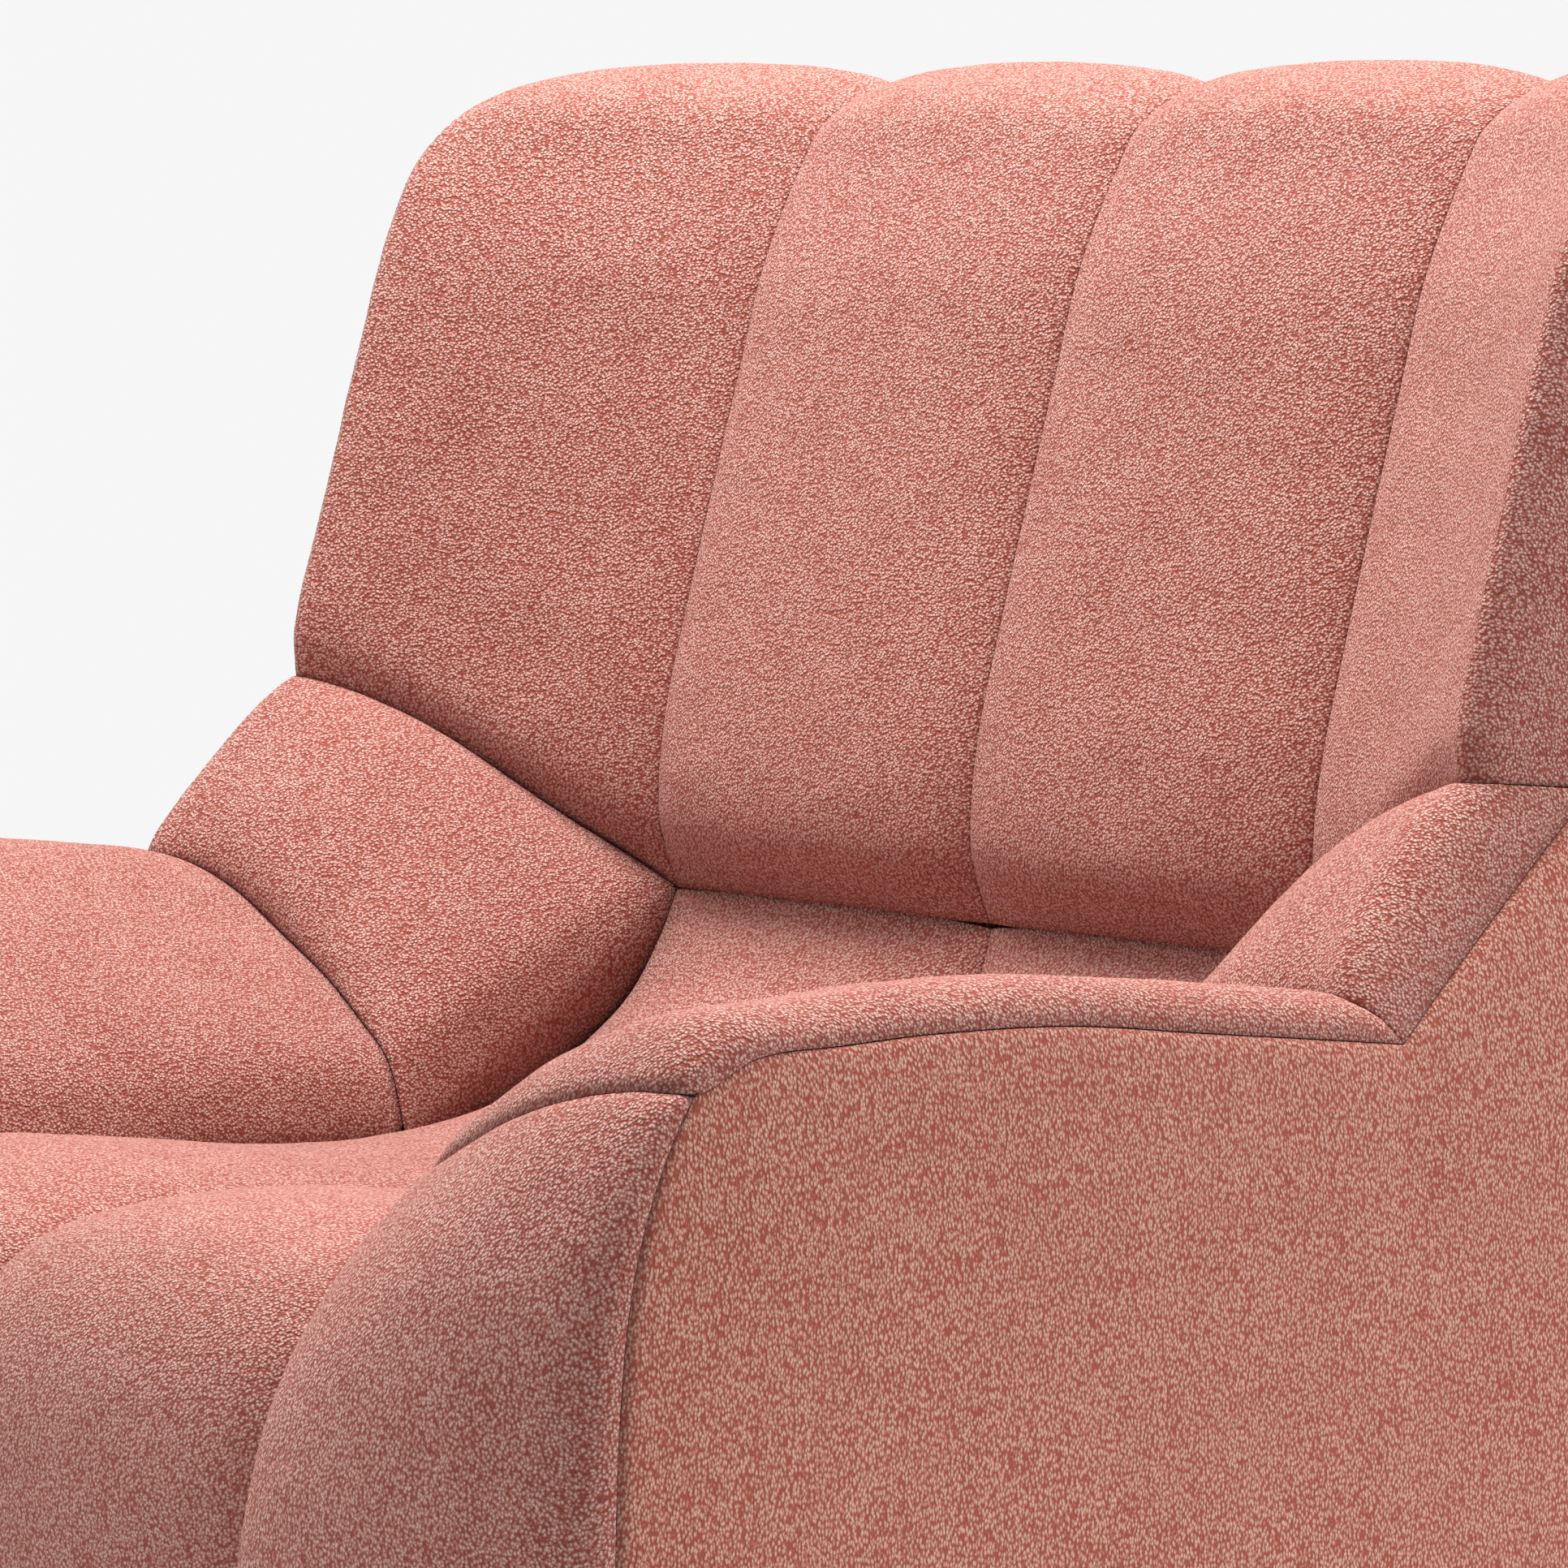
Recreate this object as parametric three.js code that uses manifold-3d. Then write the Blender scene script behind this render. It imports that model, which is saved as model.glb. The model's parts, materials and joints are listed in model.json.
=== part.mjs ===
// Swivel glider armchair with channelled upholstery. Millimetres, +Z up, front towards -Y.
// The origin is on the floor under the swivel axis.
import * as THREE from 'three';
import { mergeVertices } from 'three/addons/utils/BufferGeometryUtils.js';
import Module from 'manifold-3d';

const wasm = await Module();
wasm.setup();

// Driving sizes
const halfWidth = 525;        // outside of the arms
const halfDepth = 466;        // front edge to swivel axis, and swivel axis to back edge
const seamTop = 985;          // height of the seams where they cross the top of the back
const hem = 78;               // lower edge of the upholstery above the floor
const seatCrown = 452;        // highest line of the seat
const armCrown = 578;         // highest line of the arms
const pitch = 270;            // width of one sewn channel
const backCrown = 20;         // how far a back channel swells between its seams
const seatSwell = 26;
const seamGap = 0.6;          // clearance between two neighbouring pads
const panelGap = 3;           // the side panel's edge, inside the seam it is sewn to
const gap = 0.3;              // clearance between touching metal parts
const pinRadius = 6;
const pinPlay = 0.4;
const linkLength = 145;
const pivotHeight = 235;
const pivotSpan = 130;        // front and rear pivots, distance from the swivel axis
const ringRadius = 265;
const frameBottom = 254.6;    // underside of the timber frame
const railHeight = 82;        // height of the timber rails
const springThick = 4;
const padFoot = 6;            // rubber under the floor ring

const railTop = frameBottom + railHeight;

const chair = new THREE.Group();
chair.name = 'glider_chair';

const colours = {
  boucle: [0xcf8b80, 0.95, 0],
  steel: [0x2b2c2e, 0.45, 1],
  zinc: [0xb4b8bb, 0.35, 1],
  rubber: [0x1c1c1d, 0.9, 0],
  timber: [0xc9a878, 0.7, 0],
  lining: [0x26262a, 0.95, 0],
};

// Adds one named mesh to the chair.
function add(name, geometry, finish) {
  const [color, roughness, metalness] = colours[finish];
  const material = new THREE.MeshStandardMaterial({ color, roughness, metalness });
  const mesh = new THREE.Mesh(geometry, material);
  mesh.name = name;
  chair.add(mesh);
  return mesh;
}

const lerp = (a, b, t) => a + (b - a) * t;
const mix = (p, q, t) => p.map((value, k) => lerp(value, q[k], t));

// Piecewise linear reading of a list of [input, output] pairs.
function read(table, x) {
  if (x <= table[0][0]) return table[0][1];
  for (let k = 1; k < table.length; k += 1) {
    const [x1, y1] = table[k];
    const [x0, y0] = table[k - 1];
    if (x <= x1) return lerp(y0, y1, (x - x0) / (x1 - x0));
  }
  return table[table.length - 1][1];
}

// Geometry from plain points and triangles, turned inside in or out so that its volume is positive.
function solid(points, triangles) {
  let volume = 0;
  for (const [a, b, c] of triangles) {
    const [p, q, r] = [points[a], points[b], points[c]];
    volume += p[0] * (q[1] * r[2] - q[2] * r[1]);
    volume += p[1] * (q[2] * r[0] - q[0] * r[2]);
    volume += p[2] * (q[0] * r[1] - q[1] * r[0]);
  }
  const faces = volume > 0 ? triangles : triangles.map(([a, b, c]) => [a, c, b]);
  const geometry = new THREE.BufferGeometry();
  geometry.setAttribute('position', new THREE.Float32BufferAttribute(points.flat(), 3));
  geometry.setIndex(faces.flat());
  return geometry;
}

// Closed pad between an outer grid of points and an inner grid of the same size.
function pad(outer, inner) {
  const rows = outer.length;
  const columns = outer[0].length;
  const points = [...outer.flat(), ...inner.flat()];
  const top = (i, j) => i * columns + j;
  const low = (i, j) => rows * columns + i * columns + j;
  const triangles = [];
  const quad = (a, b, c, d) => triangles.push([a, b, c], [a, c, d]);
  for (let i = 0; i + 1 < rows; i += 1) {
    for (let j = 0; j + 1 < columns; j += 1) {
      quad(top(i, j), top(i + 1, j), top(i + 1, j + 1), top(i, j + 1));
      quad(low(i, j), low(i, j + 1), low(i + 1, j + 1), low(i + 1, j));
    }
  }
  for (let i = 0; i + 1 < rows; i += 1) {
    quad(top(i, 0), low(i, 0), low(i + 1, 0), top(i + 1, 0));
    quad(top(i, columns - 1), top(i + 1, columns - 1), low(i + 1, columns - 1), low(i, columns - 1));
  }
  for (let j = 0; j + 1 < columns; j += 1) {
    quad(top(0, j), top(0, j + 1), low(0, j + 1), low(0, j));
    quad(top(rows - 1, j), low(rows - 1, j), low(rows - 1, j + 1), top(rows - 1, j + 1));
  }
  return solid(points, triangles);
}

const sided = (grid, side) => grid.map((row) => row.map(([x, y, z]) => [side * x, y, z]));

// Adds the same pad on both sides, _left at +X (the sitter's left) and _right at -X.
function addPair(name, outer, inner, finish) {
  add(`${name}_left`, pad(outer, inner), finish);
  add(`${name}_right`, pad(sided(outer, -1), sided(inner, -1)), finish);
}

const stations = [0, 0.05, 0.14, 0.3, 0.5, 0.7, 0.86, 0.95, 1];
const swell = (u) => Math.pow(1 - Math.pow(Math.abs(2 * u - 1), 2.4), 0.62);

// Back. The seams follow one leaning line; the outer channels turn forward as wings.
const creaseHeight = 535;
const crownTop = seamTop + 7;
const backFace = [
  [creaseHeight, 252], [582, 238], [627, 241], [694, 257], [761, 276],
  [825, 295], [885, 313], [932, 331], [961, 350],
];
const faceTop = 961;
const overTop = [
  [361, seamTop - 12, 0.95], [384, seamTop + 1, 0.85], [415, crownTop, 0.6],
  [444, seamTop - 6, 0.28], [halfDepth - 5, 948, 0],
];
const underTop = [[402, 934], [410, 937], [419, 940], [428, 942], [436, 944]];
const wingForward = 105;
const wingEdge = halfWidth - 45;
const wingSeam = halfWidth - 23;
const wingRound = (wingEdge + wingSeam) / 2 + 4;
const wingPart = (x) => Math.min(1, Math.max(0, x - pitch) / (wingEdge - pitch));
const wingShift = (x) => wingForward * Math.pow(wingPart(x), 1.6);
const wingDrop = (x) => read([
  [wingEdge - 50, 0], [wingEdge - 20, 1], [wingEdge, 6], [wingRound, 22], [wingSeam, 44],
], x);
const wingTurn = (x) => read([[wingEdge, 0], [wingRound, 14], [wingSeam, 70]], x);
const wingTuck = (x) => read([[wingEdge - 25, 0], [wingEdge, 10], [wingRound, 22], [wingSeam, 29]], x);
const wingDepth = (x) => read([[wingEdge - 40, 1], [wingEdge, 0.7], [wingRound, 0.38], [wingSeam, 0]], x);
const wingRise = 114;
const backStart = (x) => creaseHeight + read([
  [pitch, 0], [wingEdge, wingRise], [wingRound, wingRise], [wingSeam, wingRise - 5],
], x);
const risers = [0, 0.04, 0.12, 0.25, 0.4, 0.55, 0.7, 0.85, 1];

// The inner point behind an outer one, which runs out to nothing at the wing's outer seam.
function behind([x, y, z], innerY, innerZ) {
  return [x - wingTuck(x), lerp(y, innerY, wingDepth(x)), lerp(z, innerZ, wingDepth(x))];
}

// One column of a back pad at width x, swelling by crown: its outer and its inner points.
function backColumn(x, crown) {
  const outer = [];
  const inner = [];
  const start = backStart(x);
  const end = faceTop - wingDrop(x) * 0.6;
  risers.forEach((t) => {
    const z = lerp(start, end, t);
    const ends = Math.min(1, 0.15 + t * 9);
    const y = read(backFace, z) - wingShift(x) + wingTurn(x);
    const point = [x, y - crown * ends, z - crown * 0.3 * ends + 6 * (1 - ends)];
    outer.push(point);
    const rise = (backStart(x - wingTuck(x)) + 5 - start) * (1 - t);
    const [innerX, innerY, innerZ] = behind(point, y + 68, z + 6);
    inner.push([innerX, innerY, innerZ + rise]);
  });
  overTop.forEach(([y, z, forward], k) => {
    const shift = (wingTurn(x) - wingShift(x)) * forward;
    const lift = crown * [0.55, 0.75, 0.8, 0.6, 0.2][k];
    const rear = crown * [-0.75, -0.4, 0, 0.35, 0.2][k];
    const point = [x, Math.min(y + shift + rear, halfDepth), z + lift - wingDrop(x)];
    const [innerY, innerZ] = underTop[k];
    outer.push(point);
    inner.push(behind(point, innerY + shift * 0.5, innerZ - wingDrop(x)));
  });
  return [outer, inner];
}

function backPads() {
  const plain = stations.map((u) => {
    const x = lerp(seamGap / 2, pitch - seamGap / 2, u);
    return backColumn(x, backCrown * swell(u));
  });
  addPair('back_pad_inner', plain.map((c) => c[0]), plain.map((c) => c[1]), 'boucle');
  const widths = [0, 0.06, 0.16, 0.33, 0.5, 0.67, 0.82, 0.92, 0.97, 1];
  const wing = widths.map((u) => {
    const x = lerp(pitch + seamGap / 2, wingSeam, u);
    const crown = u < 0.5 ? swell(u) : lerp(0.3, 1, swell(u));
    return backColumn(x, backCrown * crown);
  });
  addPair('back_pad_outer', wing.map((c) => c[0]), wing.map((c) => c[1]), 'boucle');
}

// Arm. Section from the outer seam over the crest and down to the seat, at the rear and at the front.
const armInner = pitch + 3;
const across = (part) => lerp(armInner, halfWidth, part);
const armWidths = [
  halfWidth - 9, halfWidth - 16, halfWidth - 32, across(0.774), across(0.643), across(0.484),
  armInner + 77, armInner + 35, armInner + 13, armInner,
];
const armRear = [-44, -30, -22, -26, -38, -60, -82, -106, -124, -150];
const armFront = [-16, -5, 1, 0, -8, -27, -58, -94, -122, -150];
const armTip = [-20, -10, -4, -7, -16, -30, -58, -80, -96, -112];
const armRearY = [66, 54, 42, 50, 57, 61, 60, 56, 56, 57];
const upperSeam = [
  [halfWidth - 10, -373, 543], [halfWidth - 17, -379, 544], [halfWidth - 32, -384, 544],
  [across(0.774), -386, 541], [across(0.643), -387, 534], [across(0.484), -384, 522],
  [armInner + 77, -374, 505], [armInner + 35, -362, 488], [armInner + 14, -351, 478],
  [armInner + 4, -345, 470],
];
const armRows = [0, 0.14, 0.32, 0.52, 0.72, 0.86];

function armRow(t) {
  const y = armWidths.map((x, k) => lerp(armRearY[k], -345, t));
  const level = (k) => {
    if (t < 0.6) return lerp(armRear[k], armFront[k], t / 0.6);
    return lerp(armFront[k], armTip[k], (t - 0.6) / 0.4);
  };
  const crown = 2 * Math.sin(Math.PI * Math.min(1, t * 1.1));
  return armWidths.map((x, k) => [x, y[k], armCrown + level(k) + (k > 1 ? crown : 0)]);
}

function armPads() {
  const outer = armRows.map(armRow);
  outer.push(armRow(0.98).map(([x, y, z], k) => [x, Math.min(y, upperSeam[k][1] + 34), z - 1]));
  outer.push(upperSeam.map(([x, y, z], k) => [x, y + 10, z + (k < 1 ? 3 : 13)]));
  outer.push(upperSeam);
  const last = outer.length - 1;
  const inner = outer.map((row, i) => row.map(([x, y, z], k) => {
    const frontal = read([[last - 3, 0], [last - 2, 0.6], [last - 1, 0.85], [last, 1]], i);
    const inward = read([[0, -23], [1, -19], [2, -10], [4, 2], [7, 14], [9, 18]], k);
    const down = read([[0, 2], [1, 10], [2, 40], [9, 34]], k);
    const ahead = lerp(i === 0 ? -12 : 0, 36, frontal);
    return [x + inward, y + ahead, z - lerp(down, Math.min(down, 13), frontal)];
  }));
  outer[0] = outer[0].map(([x, y, z]) => [x, y - 2 * seamGap, z]);
  addPair('arm_pad', outer, inner, 'boucle');
}

const cornerBulge = [[0, 2], [2, 9], [3, 17], [4, 32], [5, 40], [6, 34], [7, 22], [9, 6]];

// Corner between wing and arm, lofted from the arm's rear seam up to the wing's lower seam.
function cornerPads() {
  const low = armRow(0);
  const high = armWidths.map((width, k) => {
    const x = width - read([[0, halfWidth - 9 - wingSeam], [2, halfWidth - 32 - wingEdge], [5, 0]], k);
    const z = backStart(x);
    return [x, read(backFace, z) - wingShift(x) + wingTurn(x), z - read([[0, 4], [3, 4], [5, 2]], k)];
  });
  high[high.length - 1][2] -= 10;
  const steps = [0, 0.07, 0.22, 0.5, 0.78, 0.93, 1];
  const outer = steps.map((t) => low.map((p, k) => {
    const [x, y, z] = mix(p, high[k], t);
    const bulge = swell(t) * read(cornerBulge, k);
    return [x - bulge * 0.35, y - bulge * 0.45, z + bulge * 0.75];
  }));
  const inner = outer.map((row, i) => row.map(([x, y, z], k) => {
    const inward = read([[0, -25], [1, -21], [2, -13], [4, 2], [7, 14], [9, 18]], k);
    const down = read([[0, -2], [1, 6], [2, 30], [4, 40], [9, 40]], k);
    const part = Math.min(1, (k + 1) / 5);
    return [x + inward, y + lerp(12, 26, steps[i]) * part, z - down - 6 * steps[i] * part];
  }));
  outer[0] = outer[0].map(([x, y, z]) => [x, y + 3 * seamGap, z + 2 * seamGap]);
  addPair('corner_pad', outer, inner, 'boucle');
}

// Seat. One line from the crease forward over the front edge and down to the hem.
const seatLine = [
  [246, 533], [229, 517], [205, 492], [176, 470], [140, 452], [90, 437], [30, 429], [-40, 427],
  [-120, 433], [-200, 443], [-275, seatCrown - 1], [-340, seatCrown - 2], [-392, 440], [-428, 414],
  [-450, 374], [-460, 322], [-halfDepth + 3, 250], [-halfDepth + 4, 160], [-halfDepth + 8, hem],
];

const seatFill = 427 - (railTop + gap + springThick) - 8.1;

function seatPads() {
  const normals = seatLine.map((p, k) => {
    const a = seatLine[Math.max(0, k - 1)];
    const b = seatLine[Math.min(seatLine.length - 1, k + 1)];
    const size = Math.hypot(b[0] - a[0], b[1] - a[1]);
    return [(b[1] - a[1]) / size, -(b[0] - a[0]) / size];
  });
  const outer = [];
  const inner = [];
  stations.forEach((u) => {
    const x = lerp(seamGap / 2, pitch - seamGap / 2, u);
    const drop = seatSwell * (1 - swell(u));
    outer.push(seatLine.map(([y, z], k) => {
      const depth = drop * read([[0, 0.25], [2, 1], [14, 1], [18, 0.6]], k);
      return [x, y - normals[k][0] * depth, Math.max(hem, z - normals[k][1] * depth)];
    }));
    inner.push(seatLine.map(([y, z], k) => {
      const thick = seatFill * read([[0, 0.615], [3, 0.95], [10, 1], [13, 0.95], [18, 0.846]], k);
      return [x, y - normals[k][0] * thick, Math.max(hem, z - normals[k][1] * thick)];
    }));
  });
  addPair('seat_pad', outer, inner, 'boucle');
}

// How far forward the front of the arm stands, t of the way down from its upper seam.
const frontEdge = (y, footY, t, power) => lerp(y, footY, 1 - Math.pow(1 - t, power));

// Width of the facing's inner face behind the outer point k at width x.
function facingInside(x, k) {
  if (k < 2) return halfWidth - 37 - k * 3;
  return Math.max(x - read([[2, 14], [9, -6]], k), armInner + 10 - k * 0.2);
}

// Padded facing on the front of each arm, from the upper seam down to the hem.
function armFacings() {
  const foot = [-416, -424, -431, -438, -446, -453, -459, -462, -460, -452];
  const levels = [0, 0.05, 0.14, 0.27, 0.45, 0.65, 0.85, 1];
  const outer = levels.map((t) => upperSeam.map(([x, y, z], k) => {
    const down = lerp(z - 1.2, hem, t);
    const forward = frontEdge(y, foot[k], t, read([[0, 7], [9, 5]], k));
    const bulge = 9 * Math.sin(Math.PI * Math.min(1, 0.1 + 0.9 * k / 9)) * Math.min(1, t * 6);
    const narrow = read([[0, 1.5], [1, 0], [7, 0], [9, 5.5]], k) * (k > 7 ? Math.min(1, t * 4) : 1);
    return [x - narrow, forward - bulge - (t === 0 ? 0.8 : 0), down];
  }));
  const inner = outer.map((row) => row.map(([x, y, z], k) => [
    facingInside(x, k),
    y + 26,
    z - read([[0, 22], [6, 24], [8, 52], [9, 56]], k) * (z - hem) / 465,
  ]));
  addPair('arm_facing', outer, inner, 'boucle');
}

// The side panels lean in above the arms.
const lean = (z) => 0.055 * Math.max(0, z - 560);

const panelInside = halfWidth - 25;

// Smooth outer panel. Its upper edge follows the seams of the arm, the corner and the wing.
function sidePanels() {
  const edge = armRows.map((t) => armRow(t)[0]).reverse();
  edge.unshift([halfWidth - 10, upperSeam[0][1] + 2, upperSeam[0][2] - 1]);
  const wing = backColumn(wingSeam, backCrown * 0.3)[0];
  wing[0][2] -= 10;
  const corner = mix(edge[edge.length - 1], wing[0], 0.5);
  const rest = wing.filter((p, k) => k === 0 || k > 1);
  const line = [...edge, corner, ...rest];
  const count = line.length;
  const seam = line.map((p, k) => {
    const a = line[Math.max(0, k - 1)];
    const b = line[Math.min(count - 1, k + 1)];
    const size = Math.hypot(b[1] - a[1], b[2] - a[2]);
    return [p[0], p[1] + panelGap * (b[2] - a[2]) / size, p[2] - panelGap * (b[1] - a[1]) / size];
  });
  const foot = (k) => read([
    [0, -412], [edge.length - 1, 60], [edge.length + 1, 190], [count - 1, 442],
  ], k);
  const heights = [0, 0.12, 0.35, 0.6, 0.82, 0.94, 1];
  const outer = seam.map((p, k) => heights.map((t) => {
    const y = k === 0 ? frontEdge(p[1], foot(0), 1 - t, 7) : lerp(foot(k), p[1], t);
    const z = lerp(hem, p[2], t);
    const edgeOn = Math.min(1, Math.min(k, count - 1 - k) / 1.5);
    const round = Math.min(1, (1 - t) * 5);
    const width = lerp(p[0] - 0.4, halfWidth, Math.pow(round * edgeOn, 0.5));
    return [width - lean(z) * round * edgeOn, y, z];
  }));
  const inner = outer.map((row, k) => row.map(([x, y, z], j) => {
    const steer = k === 0 ? 14 : 0;
    const set = read([[edge.length, 0], [edge.length + 1, 6], [count - 4, 6], [count - 3, 0]], k);
    const back = k === count - 1 ? -8 : set;
    return [Math.min(x - 6, panelInside - lean(z)), y + steer + back, z - (j === 6 ? 6 : 0)];
  }));
  addPair('side_panel', outer, inner, 'boucle');
}

// Smooth panel that closes the back, between the two side panels.
function backPanel() {
  const spread = [-1, -0.97, -0.85, -0.5, 0, 0.5, 0.85, 0.97, 1];
  const heights = [0, 0.06, 0.25, 0.5, 0.75, 0.94, 1];
  const top = (x) => 944 - wingDrop(Math.abs(x) + 12);
  const half = halfWidth - 41;
  const outer = spread.map((u) => heights.map((t) => {
    const z = lerp(hem, top(u * half), t);
    const x = u * (half - lean(z));
    const round = Math.sqrt(Math.min(1, (1 - Math.abs(u)) * 9));
    return [x, lerp(440, halfDepth, t) - 9 * (1 - round) - (t === 1 ? 6 : 0), z];
  }));
  const inner = outer.map((row) => row.map(([x, y, z]) => [x * 0.99, y - 18 + 6 * Math.abs(x / half), z]));
  add('back_panel', pad(outer, inner), 'boucle');
}

// Plain solids
function box(width, depth, height, x, y, z) {
  const geometry = new THREE.BoxGeometry(width, depth, height);
  geometry.translate(x, y, z + height / 2);
  return geometry;
}

// Flat plate cut from an outline in Y and Z, standing across X from x to x + thickness.
function plateX(outline, holes, x, thickness) {
  const shape = new THREE.Shape(outline.map(([y, z]) => new THREE.Vector2(y, z)));
  holes.forEach(([y, z, radius]) => {
    const hole = new THREE.Path();
    hole.absarc(y, z, radius, 0, Math.PI * 2, true);
    shape.holes.push(hole);
  });
  const settings = { depth: thickness, bevelEnabled: false, curveSegments: 8 };
  const geometry = new THREE.ExtrudeGeometry(shape, settings);
  geometry.applyMatrix4(new THREE.Matrix4().makeBasis(
    new THREE.Vector3(0, 1, 0), new THREE.Vector3(0, 0, 1), new THREE.Vector3(1, 0, 0),
  ));
  geometry.translate(x, 0, 0);
  return geometry;
}

// Turned solid from [radius, height] pairs, about Z through (x, y).
function turned(profile, segments, x = 0, y = 0) {
  const geometry = new THREE.LatheGeometry(profile.map(([r, h]) => new THREE.Vector2(r, h)), segments);
  geometry.rotateX(Math.PI / 2);
  geometry.translate(x, y, 0);
  return geometry;
}

// The same, lying along X, with the profile's heights read along X.
function turnedX(profile, segments, y, z) {
  const geometry = new THREE.LatheGeometry(profile.map(([r, h]) => new THREE.Vector2(r, h)), segments);
  geometry.rotateZ(-Math.PI / 2);
  geometry.translate(0, y, z);
  return geometry;
}

function toManifold(geometry) {
  const bare = new THREE.BufferGeometry();
  bare.setAttribute('position', geometry.getAttribute('position'));
  if (geometry.index) bare.setIndex(geometry.index);
  const merged = mergeVertices(bare, 1e-4);
  return new wasm.Manifold(new wasm.Mesh({
    numProp: 3,
    vertProperties: new Float32Array(merged.getAttribute('position').array),
    triVerts: new Uint32Array(merged.index.array),
  }));
}

function fromManifold(body) {
  const mesh = body.getMesh();
  const geometry = new THREE.BufferGeometry();
  geometry.setAttribute('position', new THREE.BufferAttribute(new Float32Array(mesh.vertProperties), 3));
  geometry.setIndex(new THREE.BufferAttribute(new Uint32Array(mesh.triVerts), 1));
  return geometry;
}

const joined = (list) => fromManifold(list.map(toManifold).reduce((a, b) => a.add(b)));
const cutFrom = (geometry, tool) => fromManifold(toManifold(geometry).subtract(toManifold(tool)));

// Floor ring with its spider, rubber pads and the swivel's parts
const ringWidth = 30;
const ringHeight = 20;
const hubRadius = 82;
const plateRadius = 95;
const plateThick = 6;
const boltRadius = 10;
const ringBottom = padFoot + gap;
const hubTop = ringBottom + ringHeight + 2;
const cageBottom = hubTop + gap + plateThick + gap;
const cageHeight = 8;
const upperBottom = cageBottom + cageHeight + gap;
const upperTop = upperBottom + plateThick;

function swivelBase() {
  const [inner, outer] = [ringRadius - ringWidth, ringRadius];
  const [low, high] = [ringBottom, ringBottom + ringHeight];
  add('floor_ring', turned([
    [inner, low + 4], [inner + 4, low], [outer - 4, low], [outer, low + 4],
    [outer, high - 5], [outer - 5, high], [inner + 5, high], [inner, high - 5], [inner, low + 4],
  ], 48), 'steel');
  const arm = 2 * (inner * 0.9975 - gap) - 2;
  const bars = [0, Math.PI / 2].map((turn) => {
    const bar = box(arm, 36, ringHeight - 4, 0, 0, low + 2);
    bar.rotateZ(turn + Math.PI / 4);
    return bar;
  });
  const hub = turned([[0, low + 1], [hubRadius, low + 1], [hubRadius, hubTop], [0, hubTop]], 32);
  const drill = turned([
    [0, low - 5], [boltRadius + pinPlay, low - 5], [boltRadius + pinPlay, hubTop + 5], [0, hubTop + 5],
  ], 20);
  add('spider', cutFrom(joined([...bars, hub]), drill), 'steel');
  [45, 135, 225, 315].forEach((angle, k) => {
    const place = ringRadius - ringWidth / 2;
    const x = place * Math.cos(angle * Math.PI / 180);
    const y = place * Math.sin(angle * Math.PI / 180);
    const foot = [[0, 0], [12, 0], [13, 1.5], [13, padFoot], [0, padFoot]];
    add(`floor_pad_${k + 1}`, turned(foot, 16, x, y), 'rubber');
  });
  const washer = (r0, r1, z0, height) => {
    const z1 = z0 + height;
    return turned([[r0, z0], [r1, z0], [r1, z1], [r0, z1], [r0, z0]], 32);
  };
  const bore = boltRadius + pinPlay;
  add('race_lower', washer(bore, plateRadius, hubTop + gap, plateThick), 'zinc');
  add('ball_cage', washer(66, 84, cageBottom, cageHeight), 'zinc');
  add('race_upper', washer(bore, plateRadius, upperBottom, plateThick), 'zinc');
  const headBottom = upperTop + gap;
  add('king_pin', turned([
    [0, low + 2], [boltRadius, low + 2], [boltRadius, headBottom], [18, headBottom],
    [18, headBottom + 7], [15, headBottom + 10], [0, headBottom + 10],
  ], 20), 'zinc');
}

// Glider: brackets on the turntable carry four links; the seat's rails hang from the links.
const bracketX = 146.3;
const sheet = 6;
const strapX = bracketX + sheet + 2.7;
const strapThick = 5;
const railX = strapX + strapThick + 5;
const railThick = 5;
const lowerPivot = pivotHeight - linkLength;
const hole = pinRadius + pinPlay;

function turntable() {
  const barBottom = upperTop + gap;
  [['front', -60], ['rear', 60]].forEach(([name, y]) => {
    add(`cross_bar_${name}`, box(2 * (bracketX - gap), 30, 20, 0, y, barBottom), 'steel');
  });
  const top = pivotHeight + 17;
  const wide = pivotSpan + 18;
  const half = [[78, barBottom], [88, 182], [wide, 212], [wide, top], [pivotSpan - 18, top], [56, 206]];
  const outline = [...half, ...half.map(([y, z]) => [-y, z]).reverse()];
  const holes = [[pivotSpan, pivotHeight, hole], [-pivotSpan, pivotHeight, hole]];
  add('bracket_left', plateX(outline, holes, bracketX, sheet), 'steel');
  add('bracket_right', plateX(outline, holes, -bracketX - sheet, sheet), 'steel');
  [['front', -1], ['rear', 1]].forEach(([name, side]) => {
    add(`bump_stop_${name}`, box(2 * (bracketX + sheet), 8, 18, 0, side * 93.2, 155), 'rubber');
  });
}

// Pair of hanging straps with the tube that ties them, at y.
function yoke(name, y) {
  const ends = [];
  const radius = 15;
  for (let k = 0; k <= 10; k += 1) {
    const angle = Math.PI * k / 10;
    ends.push([y + radius * Math.cos(angle), pivotHeight + radius * Math.sin(angle)]);
  }
  for (let k = 0; k <= 10; k += 1) {
    const angle = Math.PI + Math.PI * k / 10;
    ends.push([y + radius * Math.cos(angle), lowerPivot + radius * Math.sin(angle)]);
  }
  const holes = [[y, pivotHeight, hole], [y, lowerPivot, hole]];
  const tieZ = pivotHeight - linkLength / 2;
  const reach = strapX + 2;
  const tie = turnedX([[0, -reach], [9, -reach], [9, reach], [0, reach]], 16, y, tieZ);
  const left = plateX(ends, holes, strapX, strapThick);
  const right = plateX(ends, holes, -strapX - strapThick, strapThick);
  add(name, joined([left, right, tie]), 'steel');
}

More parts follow.
